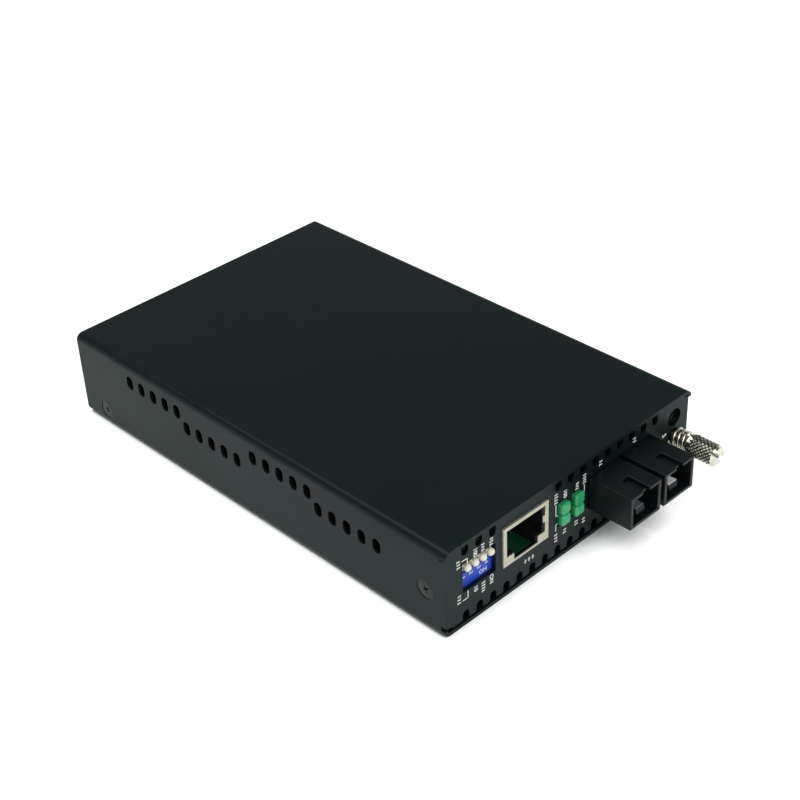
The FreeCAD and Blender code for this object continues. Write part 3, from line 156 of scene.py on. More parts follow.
link(surface,
     (place.outputs["Object"], stretched.inputs[0]),
     (entry.outputs["Stretch"], stretched.inputs[1]),
     (stretched.outputs[0], patches.inputs["Vector"]),
     (stretched.outputs[0], grain.inputs["Vector"]),
     (entry.outputs["Patch Scale"], patches.inputs["Scale"]),
     (entry.outputs["Grain Scale"], grain.inputs["Scale"]),
     (patches.outputs["Fac"], contrast.inputs["Value"]),
     (contrast.outputs["Result"], blend_colours.inputs[0]),
     (entry.outputs["Colour"], blend_colours.inputs[6]),
     (entry.outputs["Second Colour"], blend_colours.inputs[7]),
     (contrast.outputs["Result"], centred.inputs[0]),
     (centred.outputs[0], rough.inputs[0]),
     (entry.outputs["Roughness Spread"], rough.inputs[1]),
     (entry.outputs["Roughness"], rough.inputs[2]),
     (blend_colours.outputs[2], leave.inputs["Colour"]),
     (rough.outputs[0], leave.inputs["Roughness"]),
     (grain.outputs["Fac"], leave.inputs["Height"]))
print("shared group:", surface.name, "nodes:", len(surface.nodes))

# %% [markdown]
# ## The finishes
# The box has a smooth satin black powder coat with a cool tint. The jack is tin-plated sheet,
# the captive screw is bright nickel, the switch block is blue moulded nylon with cream levers,
# and the lamps are frosted green plastic. Inside, a green board carries black and metal parts.
# Each finish could be its own node tree, but as one call each, the same few numbers can be
# compared from one to the next. Colours run from 0 to 255, and the grain's depth is in mm.

# %% Make a material from the shared group
finishes = {}


def tone(red, green, blue):
    """A screen colour, 0 to 255, in Blender's light values (the sRGB curve undone)."""
    channels = []
    for level in (red / 255, green / 255, blue / 255):
        channels.append(level / 12.92 if level <= 0.04045 else ((level + 0.055) / 1.055) ** 2.4)
    return (*channels, 1)


def finish(name, colour, second, roughness, spread=0.08, patch=60, grain_scale=3000,
           stretch=(1, 1, 1), grain_depth=0.002, shader=()):
    """A material with two close colours, an uneven gloss, a fine grain and one shader."""
    material = bpy.data.materials.new(name)
    tree = emptied(material)
    output = add_node(tree, "ShaderNodeOutputMaterial")
    principled = add_node(tree, "ShaderNodeBsdfPrincipled", values=shader)
    uneven = add_node(tree, "ShaderNodeGroup", {"node_tree": surface}, {
        "Colour": tone(*colour), "Second Colour": tone(*second), "Stretch": stretch,
        "Patch Scale": patch, "Grain Scale": grain_scale, "Roughness": roughness,
        "Roughness Spread": spread})
    bump = add_node(tree, "ShaderNodeBump", values={"Distance": grain_depth * MM})
    link(tree,
         (uneven.outputs["Colour"], principled.inputs["Base Color"]),
         (uneven.outputs["Roughness"], principled.inputs["Roughness"]),
         (uneven.outputs["Height"], bump.inputs["Height"]),
         (bump.outputs["Normal"], principled.inputs["Normal"]),
         (principled.outputs[0], output.inputs[0]))
    finishes[name] = material
    return material


# %% Paint, print and the circuit board
finish("case_paint", (15, 25, 26), (11, 20, 20), roughness=0.36, spread=0.06, patch=35,
       grain_scale=2600, grain_depth=0.004,
       shader={"Specular IOR Level": 0.19, "Specular Tint": (0.66, 1, 0.97, 1)})
finish("legend_white", (242, 245, 243), (228, 232, 230), roughness=0.5, spread=0.1, patch=900)
finish("black_screw", (18, 21, 22), (10, 12, 13), roughness=0.38, spread=0.12, patch=300,
       grain_scale=4000, shader={"Specular IOR Level": 0.35})
finish("board_green", (18, 74, 48), (12, 52, 34), roughness=0.3, spread=0.1, patch=220,
       grain_scale=2500, stretch=(1, 0.25, 1), grain_depth=0.01, shader={"Coat Weight": 0.4})
print("painted finishes:", len(finishes))

# %% Metals
METAL = {"Metallic": 1.0}
finish("zinc_steel", (186, 188, 186), (160, 162, 158), roughness=0.32, spread=0.15, patch=400,
       grain_scale=5000, shader=METAL)
finish("jack_metal", (208, 205, 187), (192, 189, 171), roughness=0.36, spread=0.12, patch=260,
       grain_scale=3500, stretch=(1, 1, 0.12), grain_depth=0.003, shader={"Metallic": 0.55})
finish("contact_gold", (214, 196, 132), (196, 176, 110), roughness=0.22, spread=0.1, patch=500,
       shader=METAL)
finish("pin_metal", (196, 196, 190), (172, 172, 166), roughness=0.28, spread=0.12, patch=600,
       shader=METAL)
finish("sleeve_metal", (190, 188, 180), (170, 168, 160), roughness=0.26, spread=0.1, patch=500,
       shader=METAL)
finish("screw_nickel", (242, 240, 227), (222, 220, 206), roughness=0.22, spread=0.1, patch=420,
       grain_scale=4500, shader=METAL)
finish("spring_steel", (208, 205, 192), (184, 181, 168), roughness=0.2, patch=600,
       stretch=(1, 3, 1), shader=METAL)
print("with metals:", len(finishes))

# %% Plastics
finish("jack_plastic", (18, 19, 18), (11, 12, 12), roughness=0.45, spread=0.1, patch=300)
finish("switch_blue", (50, 80, 196), (42, 68, 178), roughness=0.4, patch=500, grain_scale=2600,
       grain_depth=0.006)
finish("lever_cream", (246, 243, 224), (236, 231, 208), roughness=0.35, patch=500)
finish("black_plastic", (22, 24, 24), (15, 16, 17), roughness=0.42, spread=0.1, patch=300)
finish("port_black", (18, 22, 25), (12, 16, 18), roughness=0.38, spread=0.1, patch=220,
       grain_scale=3800, grain_depth=0.006, shader={"Specular IOR Level": 0.26})
# latch_grey is the white latch plastic darkened as painted shade, for the ledge that lies in
# shadow.
finish("latch_grey", (112, 112, 122), (98, 98, 108), roughness=0.4, patch=400)
finish("latch_white", (246, 243, 250), (238, 235, 244), roughness=0.38, patch=400)
finish("chip_black", (24, 25, 27), (17, 18, 19), roughness=0.5, spread=0.1, patch=300,
       grain_scale=2400, grain_depth=0.008)
finish("capacitor_sleeve", (30, 34, 52), (22, 25, 40), roughness=0.3, patch=300)
finish("lamp_green", (48, 176, 114), (30, 146, 90), roughness=0.34, spread=0.12, patch=620,
       grain_scale=1800, stretch=(1, 0.35, 0.5), grain_depth=0.02, shader={"Coat Weight": 0.25})
print("all finishes:", len(finishes))

# %% [markdown]
# The knurl of the captive screw gets painted shade in its grooves, so that only its peaks are
# bright.
# A cavity or pointiness mask could find the grooves, but only where the mesh is dense. The piece
# carries a number at each point instead, called groove, that is 1 at the bottom and 0 on the
# peaks, and the nickel reads it to paint that shade into its colour. It stays with the mesh as
# the screw turns.

# %% Paint shade into the nickel's grooves, and give every solid its finish
def darken_grooves(material, dark, amount):
    """Mix a dark colour, as painted shade, into the material where the piece's groove number is
    high.
    """
    tree = material.node_tree
    principled = next(node for node in tree.nodes if node.type == "BSDF_PRINCIPLED")
    colour = principled.inputs["Base Color"]
    clean = colour.links[0].from_socket
    groove = add_node(tree, "ShaderNodeAttribute", {"attribute_name": "groove"})
    groove_shade = add_node(tree, "ShaderNodeMapRange", values={"From Min": 0.25, "To Max": amount})
    mix = add_node(tree, "ShaderNodeMix", {"data_type": "RGBA"}, {7: tone(*dark)})
    link(tree,
         (groove.outputs["Fac"], groove_shade.inputs["Value"]),
         (groove_shade.outputs["Result"], mix.inputs[0]),
         (clean, mix.inputs[6]),
         (mix.outputs[2], colour))


# Painted shade: the knurl's grooves are darkened towards this colour.
darken_grooves(finishes["screw_nickel"], dark=(34, 33, 28), amount=0.95)
for node, solid in frame["nodes"].items():
    solid.data.materials.clear()
    solid.data.materials.append(finishes[slot_of[node]])
print("solids with a finish:", len(frame["nodes"]))

# %% [markdown]
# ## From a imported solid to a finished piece
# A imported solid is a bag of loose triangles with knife-sharp edges. Real sheet and moulded
# plastic always have a small eased edge, and that edge is what catches the light. A Bevel
# modifier finds nothing to round on loose triangles. So a copy is merged, its flat faces are
# joined, its sharp edges get a narrow bevel, and the copy then stands for the solid. Widths
# are in mm.

# %% Helpers that merge, ease and finish
MERGE_WITHIN = 0.001 * MM
FLATTER_THAN = math.radians(0.2)
SHARPER_THAN = math.radians(30)


def merged_copy(node):
    """The solid's shape as one joined mesh that is free to edit."""
    form = bmesh.new()
    form.from_mesh(frame["nodes"][node].data)
    bmesh.ops.remove_doubles(form, verts=form.verts, dist=MERGE_WITHIN)
    bmesh.ops.dissolve_limit(form, angle_limit=FLATTER_THAN, use_dissolve_boundaries=False,
                             verts=form.verts, edges=form.edges)
    return form


def ease_edges(form, width, segments=2):
    """A narrow round along every sharp edge."""
    sharp = [edge for edge in form.edges
             if edge.is_manifold and edge.calc_face_angle(0) > SHARPER_THAN]
    bmesh.ops.bevel(form, geom=sharp, offset=width * MM, offset_type="OFFSET", segments=segments,
                    profile=0.5, material=-1, affect="EDGES", clamp_overlap=True)
    return form


def make_piece(name, form, slot, body="case", stands_for=(), smooth=38):
    """Turn a worked form into a piece that rides its body; smooth is an angle in degrees."""
    mesh = bpy.data.meshes.new(name)
    form.to_mesh(mesh)
    form.free()
    mesh.materials.append(finishes[slot])
    mesh.shade_smooth()
    mesh.set_sharp_from_angle(angle=math.radians(smooth))
    piece = bpy.data.objects.new(name, mesh)
    bpy.context.scene.collection.objects.link(piece)
    even = piece.modifiers.new("even_shading", "WEIGHTED_NORMAL")
    even.keep_sharp = True
    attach(piece, body)
    if stands_for:
        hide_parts(*stands_for)
    print(f"{name}: {len(mesh.polygons)} faces")
    return piece


def eased_piece(node, width, segments=2):
    """The usual case: one solid, one bevel, one piece."""
    form = ease_edges(merged_copy(node), width, segments)
    return make_piece(f"{node}_eased", form, slot_of[node], body_of[node], [node])


def middle(node):
    """The middle of a solid's box."""
    low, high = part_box(node)
    return (low + high) / 2


# %% [markdown]
# ## The folded case
# The sleeve is one sheet of steel wrapped round the box, and the tray's front plate closes it.
# Both are cut from 1 mm sheet, so their edges are broken by only a tenth of a millimetre, just
# enough to draw the thin bright line along the top lip and round each vent and notch. The lower
# bends are carried forward to the plate's face, so that the bottom corners look closed. Two
# small filler blocks would do it, but they would leave a seam, so the bends' own ends are
# extruded. Merging the pushed ends leaves two small faces inside the sheet. Each has an open
# edge, so they are found by it and deleted.

# %% Carry the sleeve's lower bends forward
BEND = 2 * MM
CUT_WITHIN = 1e-7
plate_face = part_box("thumbscrew_spring")[1].y
sleeve = merged_copy("case_sleeve")
everything = list(sleeve.verts) + list(sleeve.edges) + list(sleeve.faces)
bmesh.ops.bisect_plane(sleeve, geom=everything, dist=CUT_WITHIN, plane_co=(0, 0, BEND),
                       plane_no=(0, 0, 1))
bend_ends = [face for face in sleeve.faces
             if face.normal.y < -0.99 and face.calc_center_median().z < BEND
             and abs(face.calc_center_median().x) > cad_box[1][0] - BEND]
pushed = bmesh.ops.extrude_face_region(sleeve, geom=bend_ends, use_keep_orig=False)["geom"]
forward = [part for part in pushed if isinstance(part, bmesh.types.BMVert)]
reach = plate_face - min(face.calc_center_median().y for face in bend_ends)
bmesh.ops.delete(sleeve, geom=bend_ends, context="FACES")
bmesh.ops.translate(sleeve, vec=(0, reach, 0), verts=forward)
bmesh.ops.remove_doubles(sleeve, verts=sleeve.verts, dist=MERGE_WITHIN)
stray = {face for edge in sleeve.edges if edge.is_boundary for face in edge.link_faces}
print("lower bend ends carried forward:", len(bend_ends), "by mm", round(reach / MM, 2))
print("stray inner faces at mm:", in_mm(face.calc_center_median() for face in stray))

# %% Close the sleeve and ease the sheet metal
bmesh.ops.delete(sleeve, geom=list(stray), context="FACES_ONLY")
print("open edges left:", sum(edge.is_boundary for edge in sleeve.edges))
make_piece("case_sleeve_eased", ease_edges(sleeve, 0.11), "case_paint",
           stands_for=["case_sleeve"])
eased_piece("chassis_tray", 0.1)

# %% [markdown]
# ## Countersunk cross screws
# Four black screws hold the sleeve. Each is turned from an outline, as on a lathe, and a driver
# recess of two crossed wedges is then cut out of its head. Insetting a cross would flatten the
# crown, and a boolean cut leaves it round. The head sits just under the wall.

# %% Turning and cutting helpers
def turned(outline, steps=40):
    """Spin an outline of (radius, height) in mm round the Z axis into a closed form."""
    form = bmesh.new()
    points = [form.verts.new((radius * MM, 0, height * MM)) for radius, height in outline]
    edges = [form.edges.new(pair) for pair in zip(points, points[1:])]
    bmesh.ops.spin(form, geom=points + edges, cent=(0, 0, 0), axis=(0, 0, 1),
                   angle=2 * math.pi, steps=steps, use_merge=True)
    bmesh.ops.remove_doubles(form, verts=form.verts, dist=MERGE_WITHIN / 2)
    bmesh.ops.recalc_face_normals(form, faces=form.faces)
    return form


def cut_away(form, cutter):
    """Take the cutter's volume out of the form with an exact boolean."""
    objects = []
    for name, part in (("form", form), ("cutter", cutter)):
        mesh = bpy.data.meshes.new(name)
        part.to_mesh(mesh)
        part.free()
        objects.append(bpy.data.objects.new(name, mesh))
        bpy.context.scene.collection.objects.link(objects[-1])
    cut = objects[0].modifiers.new("cut", "BOOLEAN")
    cut.operation = "DIFFERENCE"
    cut.solver = "EXACT"
    cut.object = objects[1]
    result = bmesh.new()
    graph = bpy.context.evaluated_depsgraph_get()
    result.from_mesh(objects[0].evaluated_get(graph).to_mesh())
    for thing in objects:
        bpy.data.meshes.remove(thing.data)
    return result


def add_block(form, centre, size, turn=None, foot=1.0):
    """A block by its centre and size in mm; its lower end can be drawn in to a wedge."""
    made = bmesh.ops.create_cube(form, size=1)["verts"]
    for vertex in made:
        if vertex.co.z < 0:
            vertex.co.x *= foot
            vertex.co.y *= foot
    bmesh.ops.scale(form, vec=Vector(size) * MM, verts=made)
    if turn:
        bmesh.ops.rotate(form, cent=(0, 0, 0), matrix=turn, verts=made)
    bmesh.ops.translate(form, vec=Vector(centre) * MM, verts=made)


# %% Turn one case screw
RECESS_ARM, RECESS_WIDTH, RECESS_DEPTH, RECESS_FOOT = 1.35, 0.55, 0.8, 0.4
SCREW_OUTLINE = [(0, -0.01), (1.2, -0.02), (2.1, -0.06), (2.5, -0.12), (2.62, -0.2),
                 (1.5, -1.0), (1.5, -2.5), (1.3, -2.7), (0, -2.7)]


def case_screw():
    """Head up, its crown level with the wall and its rim 0.1 mm under it."""
    form = turned(SCREW_OUTLINE)
    for degrees in (0, 90):
        wedge = bmesh.new()
        add_block(wedge, (0, 0, 0), (2 * RECESS_ARM, RECESS_WIDTH, 2 * RECESS_DEPTH),
                  turn=Matrix.Rotation(math.radians(degrees), 3, "Z"), foot=RECESS_FOOT)
        form = cut_away(form, wedge)
    return form


# %% [markdown]
# The solid holds all four screws in one mesh, so its points are sorted into four clouds, by side
# and by end. The middle of a cloud is a screw's place. A driver leaves its recesses at chance
# angles, so the rear pair is turned further than the front pair.

# %% Set the four case screws
FRONT_TWIST, REAR_TWIST = 0.5, 1.2
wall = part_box("case_screws")[1].x
clouds = {}
for vertex in frame["nodes"]["case_screws"].data.vertices:
    side = -1 if vertex.co.x < 0 else 1
    clouds.setdefault((side, vertex.co.y > 0), []).append(vertex.co)
screw_form = bmesh.new()
for (side, at_rear), cloud in sorted(clouds.items()):
    y = (min(co.y for co in cloud) + max(co.y for co in cloud)) / 2
    z = (min(co.z for co in cloud) + max(co.z for co in cloud)) / 2
    twist = Matrix.Rotation(REAR_TWIST if at_rear else FRONT_TWIST, 4, "Z")
    outward = Matrix.Rotation(side * math.pi / 2, 4, "Y") @ twist
    one = case_screw()
    bmesh.ops.transform(one, matrix=Matrix.Translation((side * wall, y, z)) @ outward,
                        verts=one.verts)
    joined = bpy.data.meshes.new("joined")
    one.to_mesh(joined)
    one.free()
    screw_form.from_mesh(joined)
    bpy.data.meshes.remove(joined)
make_piece("case_screws_turned", screw_form, "black_screw", stands_for=["case_screws"])

# %% [markdown]
# ## The captive screw
# This is the brightest piece. Its grip has a diamond knurl: two sets of slanting grooves that
# cross, leaving small pyramids. They could be cut with two sets of twisted booleans, which
# leaves slivers. On a grid wrapped round the grip, pressing in every other point like a
# chessboard makes the same pyramids from whole faces. The outline comes first, from the front
# of the grip to the end of the shank, with a chamfer, the knurl's rings and the clip's groove.

# %% Draw and turn the captive screw
KNURL_COLUMNS, KNURL_PITCH, KNURL_DEPTH = 32, 0.56, 0.4
KNURL_SET_BACK, KNURL_MARGINS = 0.7, 1.15
SHANK, GROOVE, GROOVE_ROOM = 1.6, 1.2, 0.1
thumb_low, thumb_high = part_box("thumbscrew")
clip_front, clip_back = (corner.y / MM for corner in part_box("retaining_clip"))
spring_low, spring_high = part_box("thumbscrew_spring")
grip_radius = (thumb_high.x - thumb_low.x) / 2 / MM
tip, grip_end, shank_end = thumb_low.y / MM, spring_low.y / MM, thumb_high.y / MM
knurl_start = tip + KNURL_SET_BACK
knurl_rings = int((grip_end - tip - KNURL_MARGINS) / KNURL_PITCH)
outline = [(0, tip), (grip_radius - 0.6, tip), (grip_radius - 0.12, tip + 0.5)]
outline += [(grip_radius, knurl_start + ring * KNURL_PITCH) for ring in range(knurl_rings)]
outline += [(grip_radius - 0.3, grip_end - 0.05), (grip_radius - 0.5, grip_end)]
outline += [(SHANK, grip_end), (SHANK, clip_front - GROOVE_ROOM),
            (GROOVE, clip_front - GROOVE_ROOM), (GROOVE, clip_back + GROOVE_ROOM),
            (SHANK, clip_back + GROOVE_ROOM), (SHANK, shank_end - 0.5), (1.1, shank_end),
            (0, shank_end)]
thumb = turned(outline, KNURL_COLUMNS)
print("knurl rings:", knurl_rings, "grip radius in mm:", round(grip_radius, 2))

# %% [markdown]
# The chessboard needs whole numbers, so each point's ring is counted along the grip and its
# column round it. The four-sided faces are then split along their short diagonal, which is the
# crest or the valley between two pyramids. A driver slot is cut across the end. The grooves'
# numbers are stored after the cut, because a boolean makes a new mesh.

# %% Press the knurl in, cut the slot and lay the screw down
SLOT_TURN = math.radians(-48)
SLOT_WIDTH, SLOT_LENGTH, SLOT_HEIGHT = 1.0, 8, 2.4
for vertex in thumb.verts:
    ring = (vertex.co.z / MM - knurl_start) / KNURL_PITCH
    if -0.1 < ring < knurl_rings - 0.9 and vertex.co.xy.length > (grip_radius - 0.01) * MM:
        column = math.atan2(vertex.co.y, vertex.co.x) / (2 * math.pi) * KNURL_COLUMNS
        if (round(ring) + round(column)) % 2:
            vertex.co.xy *= 1 - KNURL_DEPTH / grip_radius
bmesh.ops.triangulate(thumb, faces=[face for face in thumb.faces if len(face.verts) == 4],
                      quad_method="SHORT_EDGE")
slot_cutter = bmesh.new()
add_block(slot_cutter, (0, 0, tip), (SLOT_WIDTH, SLOT_LENGTH, SLOT_HEIGHT))
bmesh.ops.rotate(slot_cutter, cent=(0, 0, 0), matrix=Matrix.Rotation(SLOT_TURN, 3, "Z"),
                 verts=slot_cutter.verts)
thumb = cut_away(thumb, slot_cutter)
groove = thumb.verts.layers.float.new("groove")
knurl_end = knurl_start + knurl_rings * KNURL_PITCH
for vertex in thumb.verts:
    if knurl_start - 0.1 < vertex.co.z / MM < knurl_end:
        sunk = (grip_radius - vertex.co.xy.length / MM) / KNURL_DEPTH
        vertex[groove] = min(max(sunk, 0), 1)
axis_at = middle("thumbscrew")
lay_down = Matrix.Translation((axis_at.x, 0, axis_at.z)) @ Matrix.Rotation(-math.pi / 2, 4, "X")
bmesh.ops.transform(thumb, matrix=lay_down, verts=thumb.verts)
make_piece("thumbscrew_knurled", thumb, "screw_nickel", "captive_screw", ["thumbscrew"],
           smooth=12)

# %% [markdown]
# ## The spring
# An open coil pushes the captive screw out. A curve with a round bevel would draw it, but a
# small circle spun round the axis while it advances gives even rings and an exact length. Its
# two cut ends are capped, and they rest on the grip and on the plate. The coil stays a
# twentieth of a millimetre inside the imported spring's box.

# %% Wind the spring
COIL_TURNS, TURN_STEPS = 3.5, 32
WIRE_RADIUS, WIRE_SIDES = 0.34, 12
panel_y = plate_face / MM
outer_radius = (spring_high.x - spring_low.x) / 2 / MM
coil_radius = outer_radius - WIRE_RADIUS / math.cos(math.pi / 6)
coil_travel = panel_y - grip_end - 2 * WIRE_RADIUS
spring = bmesh.new()
ring = bmesh.ops.create_circle(spring, cap_ends=False, radius=WIRE_RADIUS * MM,
                               segments=WIRE_SIDES)["verts"]
bmesh.ops.translate(spring, vec=Vector((coil_radius, grip_end + WIRE_RADIUS, 0)) * MM, verts=ring)
rim = list({edge for vertex in ring for edge in vertex.link_edges})
steps = int(COIL_TURNS * TURN_STEPS)
bmesh.ops.spin(spring, geom=ring + rim, cent=(0, 0, 0), axis=(0, 1, 0),
               dvec=(0, coil_travel * MM / steps, 0), angle=COIL_TURNS * 2 * math.pi, steps=steps)
bmesh.ops.holes_fill(spring, edges=[edge for edge in spring.edges if edge.is_boundary])
bmesh.ops.recalc_face_normals(spring, faces=spring.faces)
bmesh.ops.translate(spring, vec=(axis_at.x, 0, axis_at.z), verts=spring.verts)
coil = make_piece("thumbscrew_spring_coil", spring, "spring_steel",
                  stands_for=["thumbscrew_spring"], smooth=50)
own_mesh(coil)

# %% [markdown]
# ## The twisted-pair jack
# A folded tin-plated shell with a plastic insert. The shell is only 0.35 mm thick, so its edges
# are barely eased. Its mouth is opened a little wider than the plug, so that a dark rim of the
# insert shows inside it. Moving the mouth's own points does this and leaves the folds alone. The
# eight contacts are thin sprung wires.

# %% Ease the jack
MOUTH_GROWTH, MOUTH_LIFT = 1.1, 0.4 * MM
FRONT_DEPTH, MOUTH_HALF = 0.5 * MM, 6.3 * MM
OUTER_FRAME, TOP_BAND = 0.6 * MM, 3 * MM
shield = merged_copy("jack_shield")
shield_low, shield_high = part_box("jack_shield")
shield_mid = middle("jack_shield").x
for vertex in shield.verts:
    aside = vertex.co.x - shield_mid
    in_front = vertex.co.y < shield_low.y + FRONT_DEPTH
    if in_front and abs(aside) < MOUTH_HALF and vertex.co.z < shield_high.z - OUTER_FRAME:
        vertex.co.x = shield_mid + aside * MOUTH_GROWTH
        if vertex.co.z > shield_high.z - TOP_BAND:
            vertex.co.z += MOUTH_LIFT
make_piece("jack_shield_eased", ease_edges(shield, 0.07), "jack_metal",
           stands_for=["jack_shield"])
eased_piece("jack_housing", 0.12)
eased_piece("jack_contacts", 0.05)

# %% [markdown]
# ## The switch block and its levers
# A blue nylon block with four channels, and a cream lever that tilts in each. Moulded nylon has
# softer edges than sheet, so the bevel is wider. Each lever ends in a round knob that is a
# little fatter than its neck, so that a fingernail can catch it. A new ball would have to be
# joined on, so the tip's own points are grown about its centre.

# %% Ease the switch
ARM_HALF = 0.85 * MM
KNOB_GROWTH = 1.25
eased_piece("switch_body", 0.12)
for way in range(1, 5):
    lever = merged_copy(f"switch_lever_{way}")
    low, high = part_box(f"switch_lever_{way}")
    knob = Vector(((low.x + high.x) / 2, low.y + ARM_HALF, high.z - ARM_HALF))
    for vertex in lever.verts:
        if vertex.co.y < knob.y + 0.01 * MM:
            vertex.co = knob + (vertex.co - knob) * KNOB_GROWTH
    make_piece(f"switch_lever_{way}_headed", ease_edges(lever, 0.1), "lever_cream",
               f"lever_{way}", [f"switch_lever_{way}"], smooth=50)

# %% [markdown]
# ## Lamps
# Each lamp is a frosted green block with rounded corners, and a black holder carries all four.
# They are off, and frosting hides what is behind it, so an eased block with a plain green finish
# and a thin coat is enough, and no light has to pass through it.

# %% Ease the lamps
for lamp in ("lamp_left_lower", "lamp_left_upper", "lamp_right_lower", "lamp_right_upper"):
    eased_piece(lamp, 0.08)
eased_piece("lamp_holder", 0.12)

# %% [markdown]
# ## The optical ports
# Two square noses with a keyway in the roof, a pair of moulded hooks and a metal sleeve in each.
# The moulding's rims are rounded by a seventh of a millimetre, and those rims read as the thin
# grey outline of each mouth. The hooks are white plastic, but only the ledge on top of the lower
# hook keeps a light colour: white in one port, and grey in the other, which is the same white
# with painted shade. The ledge could be a piece of its own, but it is one moulding, so the piece
# gets a second material, the ports' black, as painted shade on the upper hook and on every face
# that doesn't face up; the faces are told apart by their height and by the way they face.

# %% Ease the ports
HOOK_HEAD, HOOK_RISE = 3.5 * MM, 0.9 * MM
LEDGE_FROM, LEDGE_TO = 0.75, 2.0
eased_piece("transceiver_housing", 0.15, 3)
for side in ("left", "right"):
    hook = merged_copy(f"port_latch_{side}")
    hook_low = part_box(f"port_latch_{side}")[0]
    for vertex in hook.verts:
        height = (vertex.co.z - hook_low.z) / MM
        if vertex.co.y < hook_low.y + HOOK_HEAD and LEDGE_FROM < height < LEDGE_TO:
            vertex.co.z += HOOK_RISE
    latch = make_piece(f"port_latch_{side}_eased", ease_edges(hook, 0.1),
                       slot_of[f"port_latch_{side}"], stands_for=[f"port_latch_{side}"])
    # Painted shade: the upper hook and every face that doesn't face up get the ports' black; only
    # the ledge keeps the latch colour.
    latch.data.materials.append(finishes["port_black"])
    axis_z = middle(f"port_latch_{side}").z
    for face in latch.data.polygons:
        face.material_index = int(face.center.z > axis_z or face.normal.z < 0.5)
    eased_piece(f"port_sleeve_{side}", 0.1)

# %% [markdown]
# ## Legends
# The real panel has small white printed words. Here they are generic: plain strokes, brackets
# and a few numbers, in the same places and sizes. A painted texture would blur close up, so
# each mark is a thin block. Printed ink is a very thin raised layer, and each mark stands two
# hundredths of a millimetre off the paint. Places and sizes are in mm: across, and up from the
# table.

# %% Helpers that print
INK = 0.02
LINE = 0.27
ROW_PITCH, ROW_HEIGHT, ROW_WIDTH = 0.85, 0.32, 1.2
STEM_WIDTH, STEM_HEIGHT = 0.26, 0.62
READ_DOWN = Matrix(((0, 1, 0, 0), (0, 0, -1, 0), (-1, 0, 0, 0), (0, 0, 0, 1)))
READ_LEVEL = Matrix(((1, 0, 0, 0), (0, 0, -1, 0), (0, 1, 0, 0), (0, 0, 0, 1)))
dice = random.Random(7)


def ink_bar(form, x, z, width, height):
    """One upright mark on the front plate, by its centre and size."""
    add_block(form, (x, panel_y, z), (width, 2 * INK, height))


def ink_path(form, points):
    """A line drawn through points, one straight stroke each."""
    for (x0, z0), (x1, z1) in zip(points, points[1:]):
        ink_bar(form, (x0 + x1) / 2, (z0 + z1) / 2, abs(x1 - x0) + LINE, abs(z1 - z0) + LINE)


def ink_ticks(form, x, bottom, top):
    """A column of short strokes in the place of a word that reads downwards."""
    count = max(2, round((top - bottom) / ROW_PITCH))
    for index in range(count):
        z = bottom + (index + 0.5) * (top - bottom) / count
        ink_bar(form, x, z, ROW_WIDTH * dice.choice((0.75, 0.9, 1.0)), ROW_HEIGHT)
        ink_bar(form, x + dice.choice((-0.36, 0.0, 0.36)) * ROW_WIDTH, z, STEM_WIDTH, STEM_HEIGHT)


def ink_text(form, words, size, x, z, face=panel_y, reading=READ_DOWN):
    """Numbers or ON, as lettering turned into a mesh, reading downwards or level."""
    curve = bpy.data.curves.new("words", "FONT")
    curve.body = words
    curve.size = size * MM
    curve.extrude = INK * MM
    curve.offset = 0.02 * size * MM
    curve.align_x = "CENTER"
    curve.align_y = "CENTER"
    lettering = bpy.data.objects.new("words", curve)
    bpy.context.scene.collection.objects.link(lettering)
    graph = bpy.context.evaluated_depsgraph_get()
    mesh = bpy.data.meshes.new_from_object(lettering.evaluated_get(graph))
    mesh.transform(Matrix.Translation(Vector((x, face, z)) * MM) @ reading)
    form.from_mesh(mesh)
    bpy.data.meshes.remove(mesh)
    bpy.data.objects.remove(lettering)
    bpy.data.curves.remove(curve)


# %% Print round the switch
marks = bmesh.new()
lever_mid = [middle(f"switch_lever_{way}").x / MM for way in range(1, 5)]
for bottom, top in ((17.4, 20.0), (7.2, 10.0)):
    ink_ticks(marks, lever_mid[0] - 2.9, bottom, top)
ink_path(marks, [(lever_mid[0] - 1.7, 19.0), (lever_mid[0], 19.0), (lever_mid[0], 17.6)])
ink_path(marks, [(lever_mid[0], 9.5), (lever_mid[0], 7.6), (lever_mid[0] - 1.6, 7.6)])
ink_text(marks, "100", 1.7, lever_mid[1], 19.1)
ink_ticks(marks, lever_mid[2], 17.9, 20.3)
ink_ticks(marks, lever_mid[3] + 0.2, 17.9, 20.3)
ink_text(marks, "10", 1.7, lever_mid[1], 8.6)
ink_ticks(marks, lever_mid[2], 6.0, 9.2)
ink_text(marks, "ON", 1.7, lever_mid[3] + 0.1, 8.2)
print("faces of ink round the switch:", len(marks.faces))

# %% Print beside the lamps
left_lamp = [corner.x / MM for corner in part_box("lamp_left_lower")]
right_lamp = [corner.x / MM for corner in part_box("lamp_right_lower")]
left_mid, right_mid = sum(left_lamp) / 2, sum(right_lamp) / 2
beside, beyond = left_lamp[0] - 0.8, right_lamp[1] + 1.0
ink_ticks(marks, beside, 16.8, 20.0)
ink_path(marks, [(beside, 16.4), (beside, 13.2), (beside + 0.45, 13.2)])
ink_path(marks, [(beside + 0.45, 10.7), (beside, 10.7), (beside, 9.0)])
ink_ticks(marks, beside, 5.4, 8.2)
ink_text(marks, "100", 1.6, left_mid + 0.7, 18.2)
ink_ticks(marks, left_mid + 0.7, 6.3, 8.0)
ink_ticks(marks, right_mid, 16.9, 19.1)
ink_ticks(marks, right_mid, 6.3, 8.0)
ink_ticks(marks, beyond, 17.2, 20.2)
ink_path(marks, [(beyond, 16.9), (beyond, 15.0)])
ink_ticks(marks, beyond, 5.4, 7.3)
print("faces of ink with the lamps:", len(marks.faces))

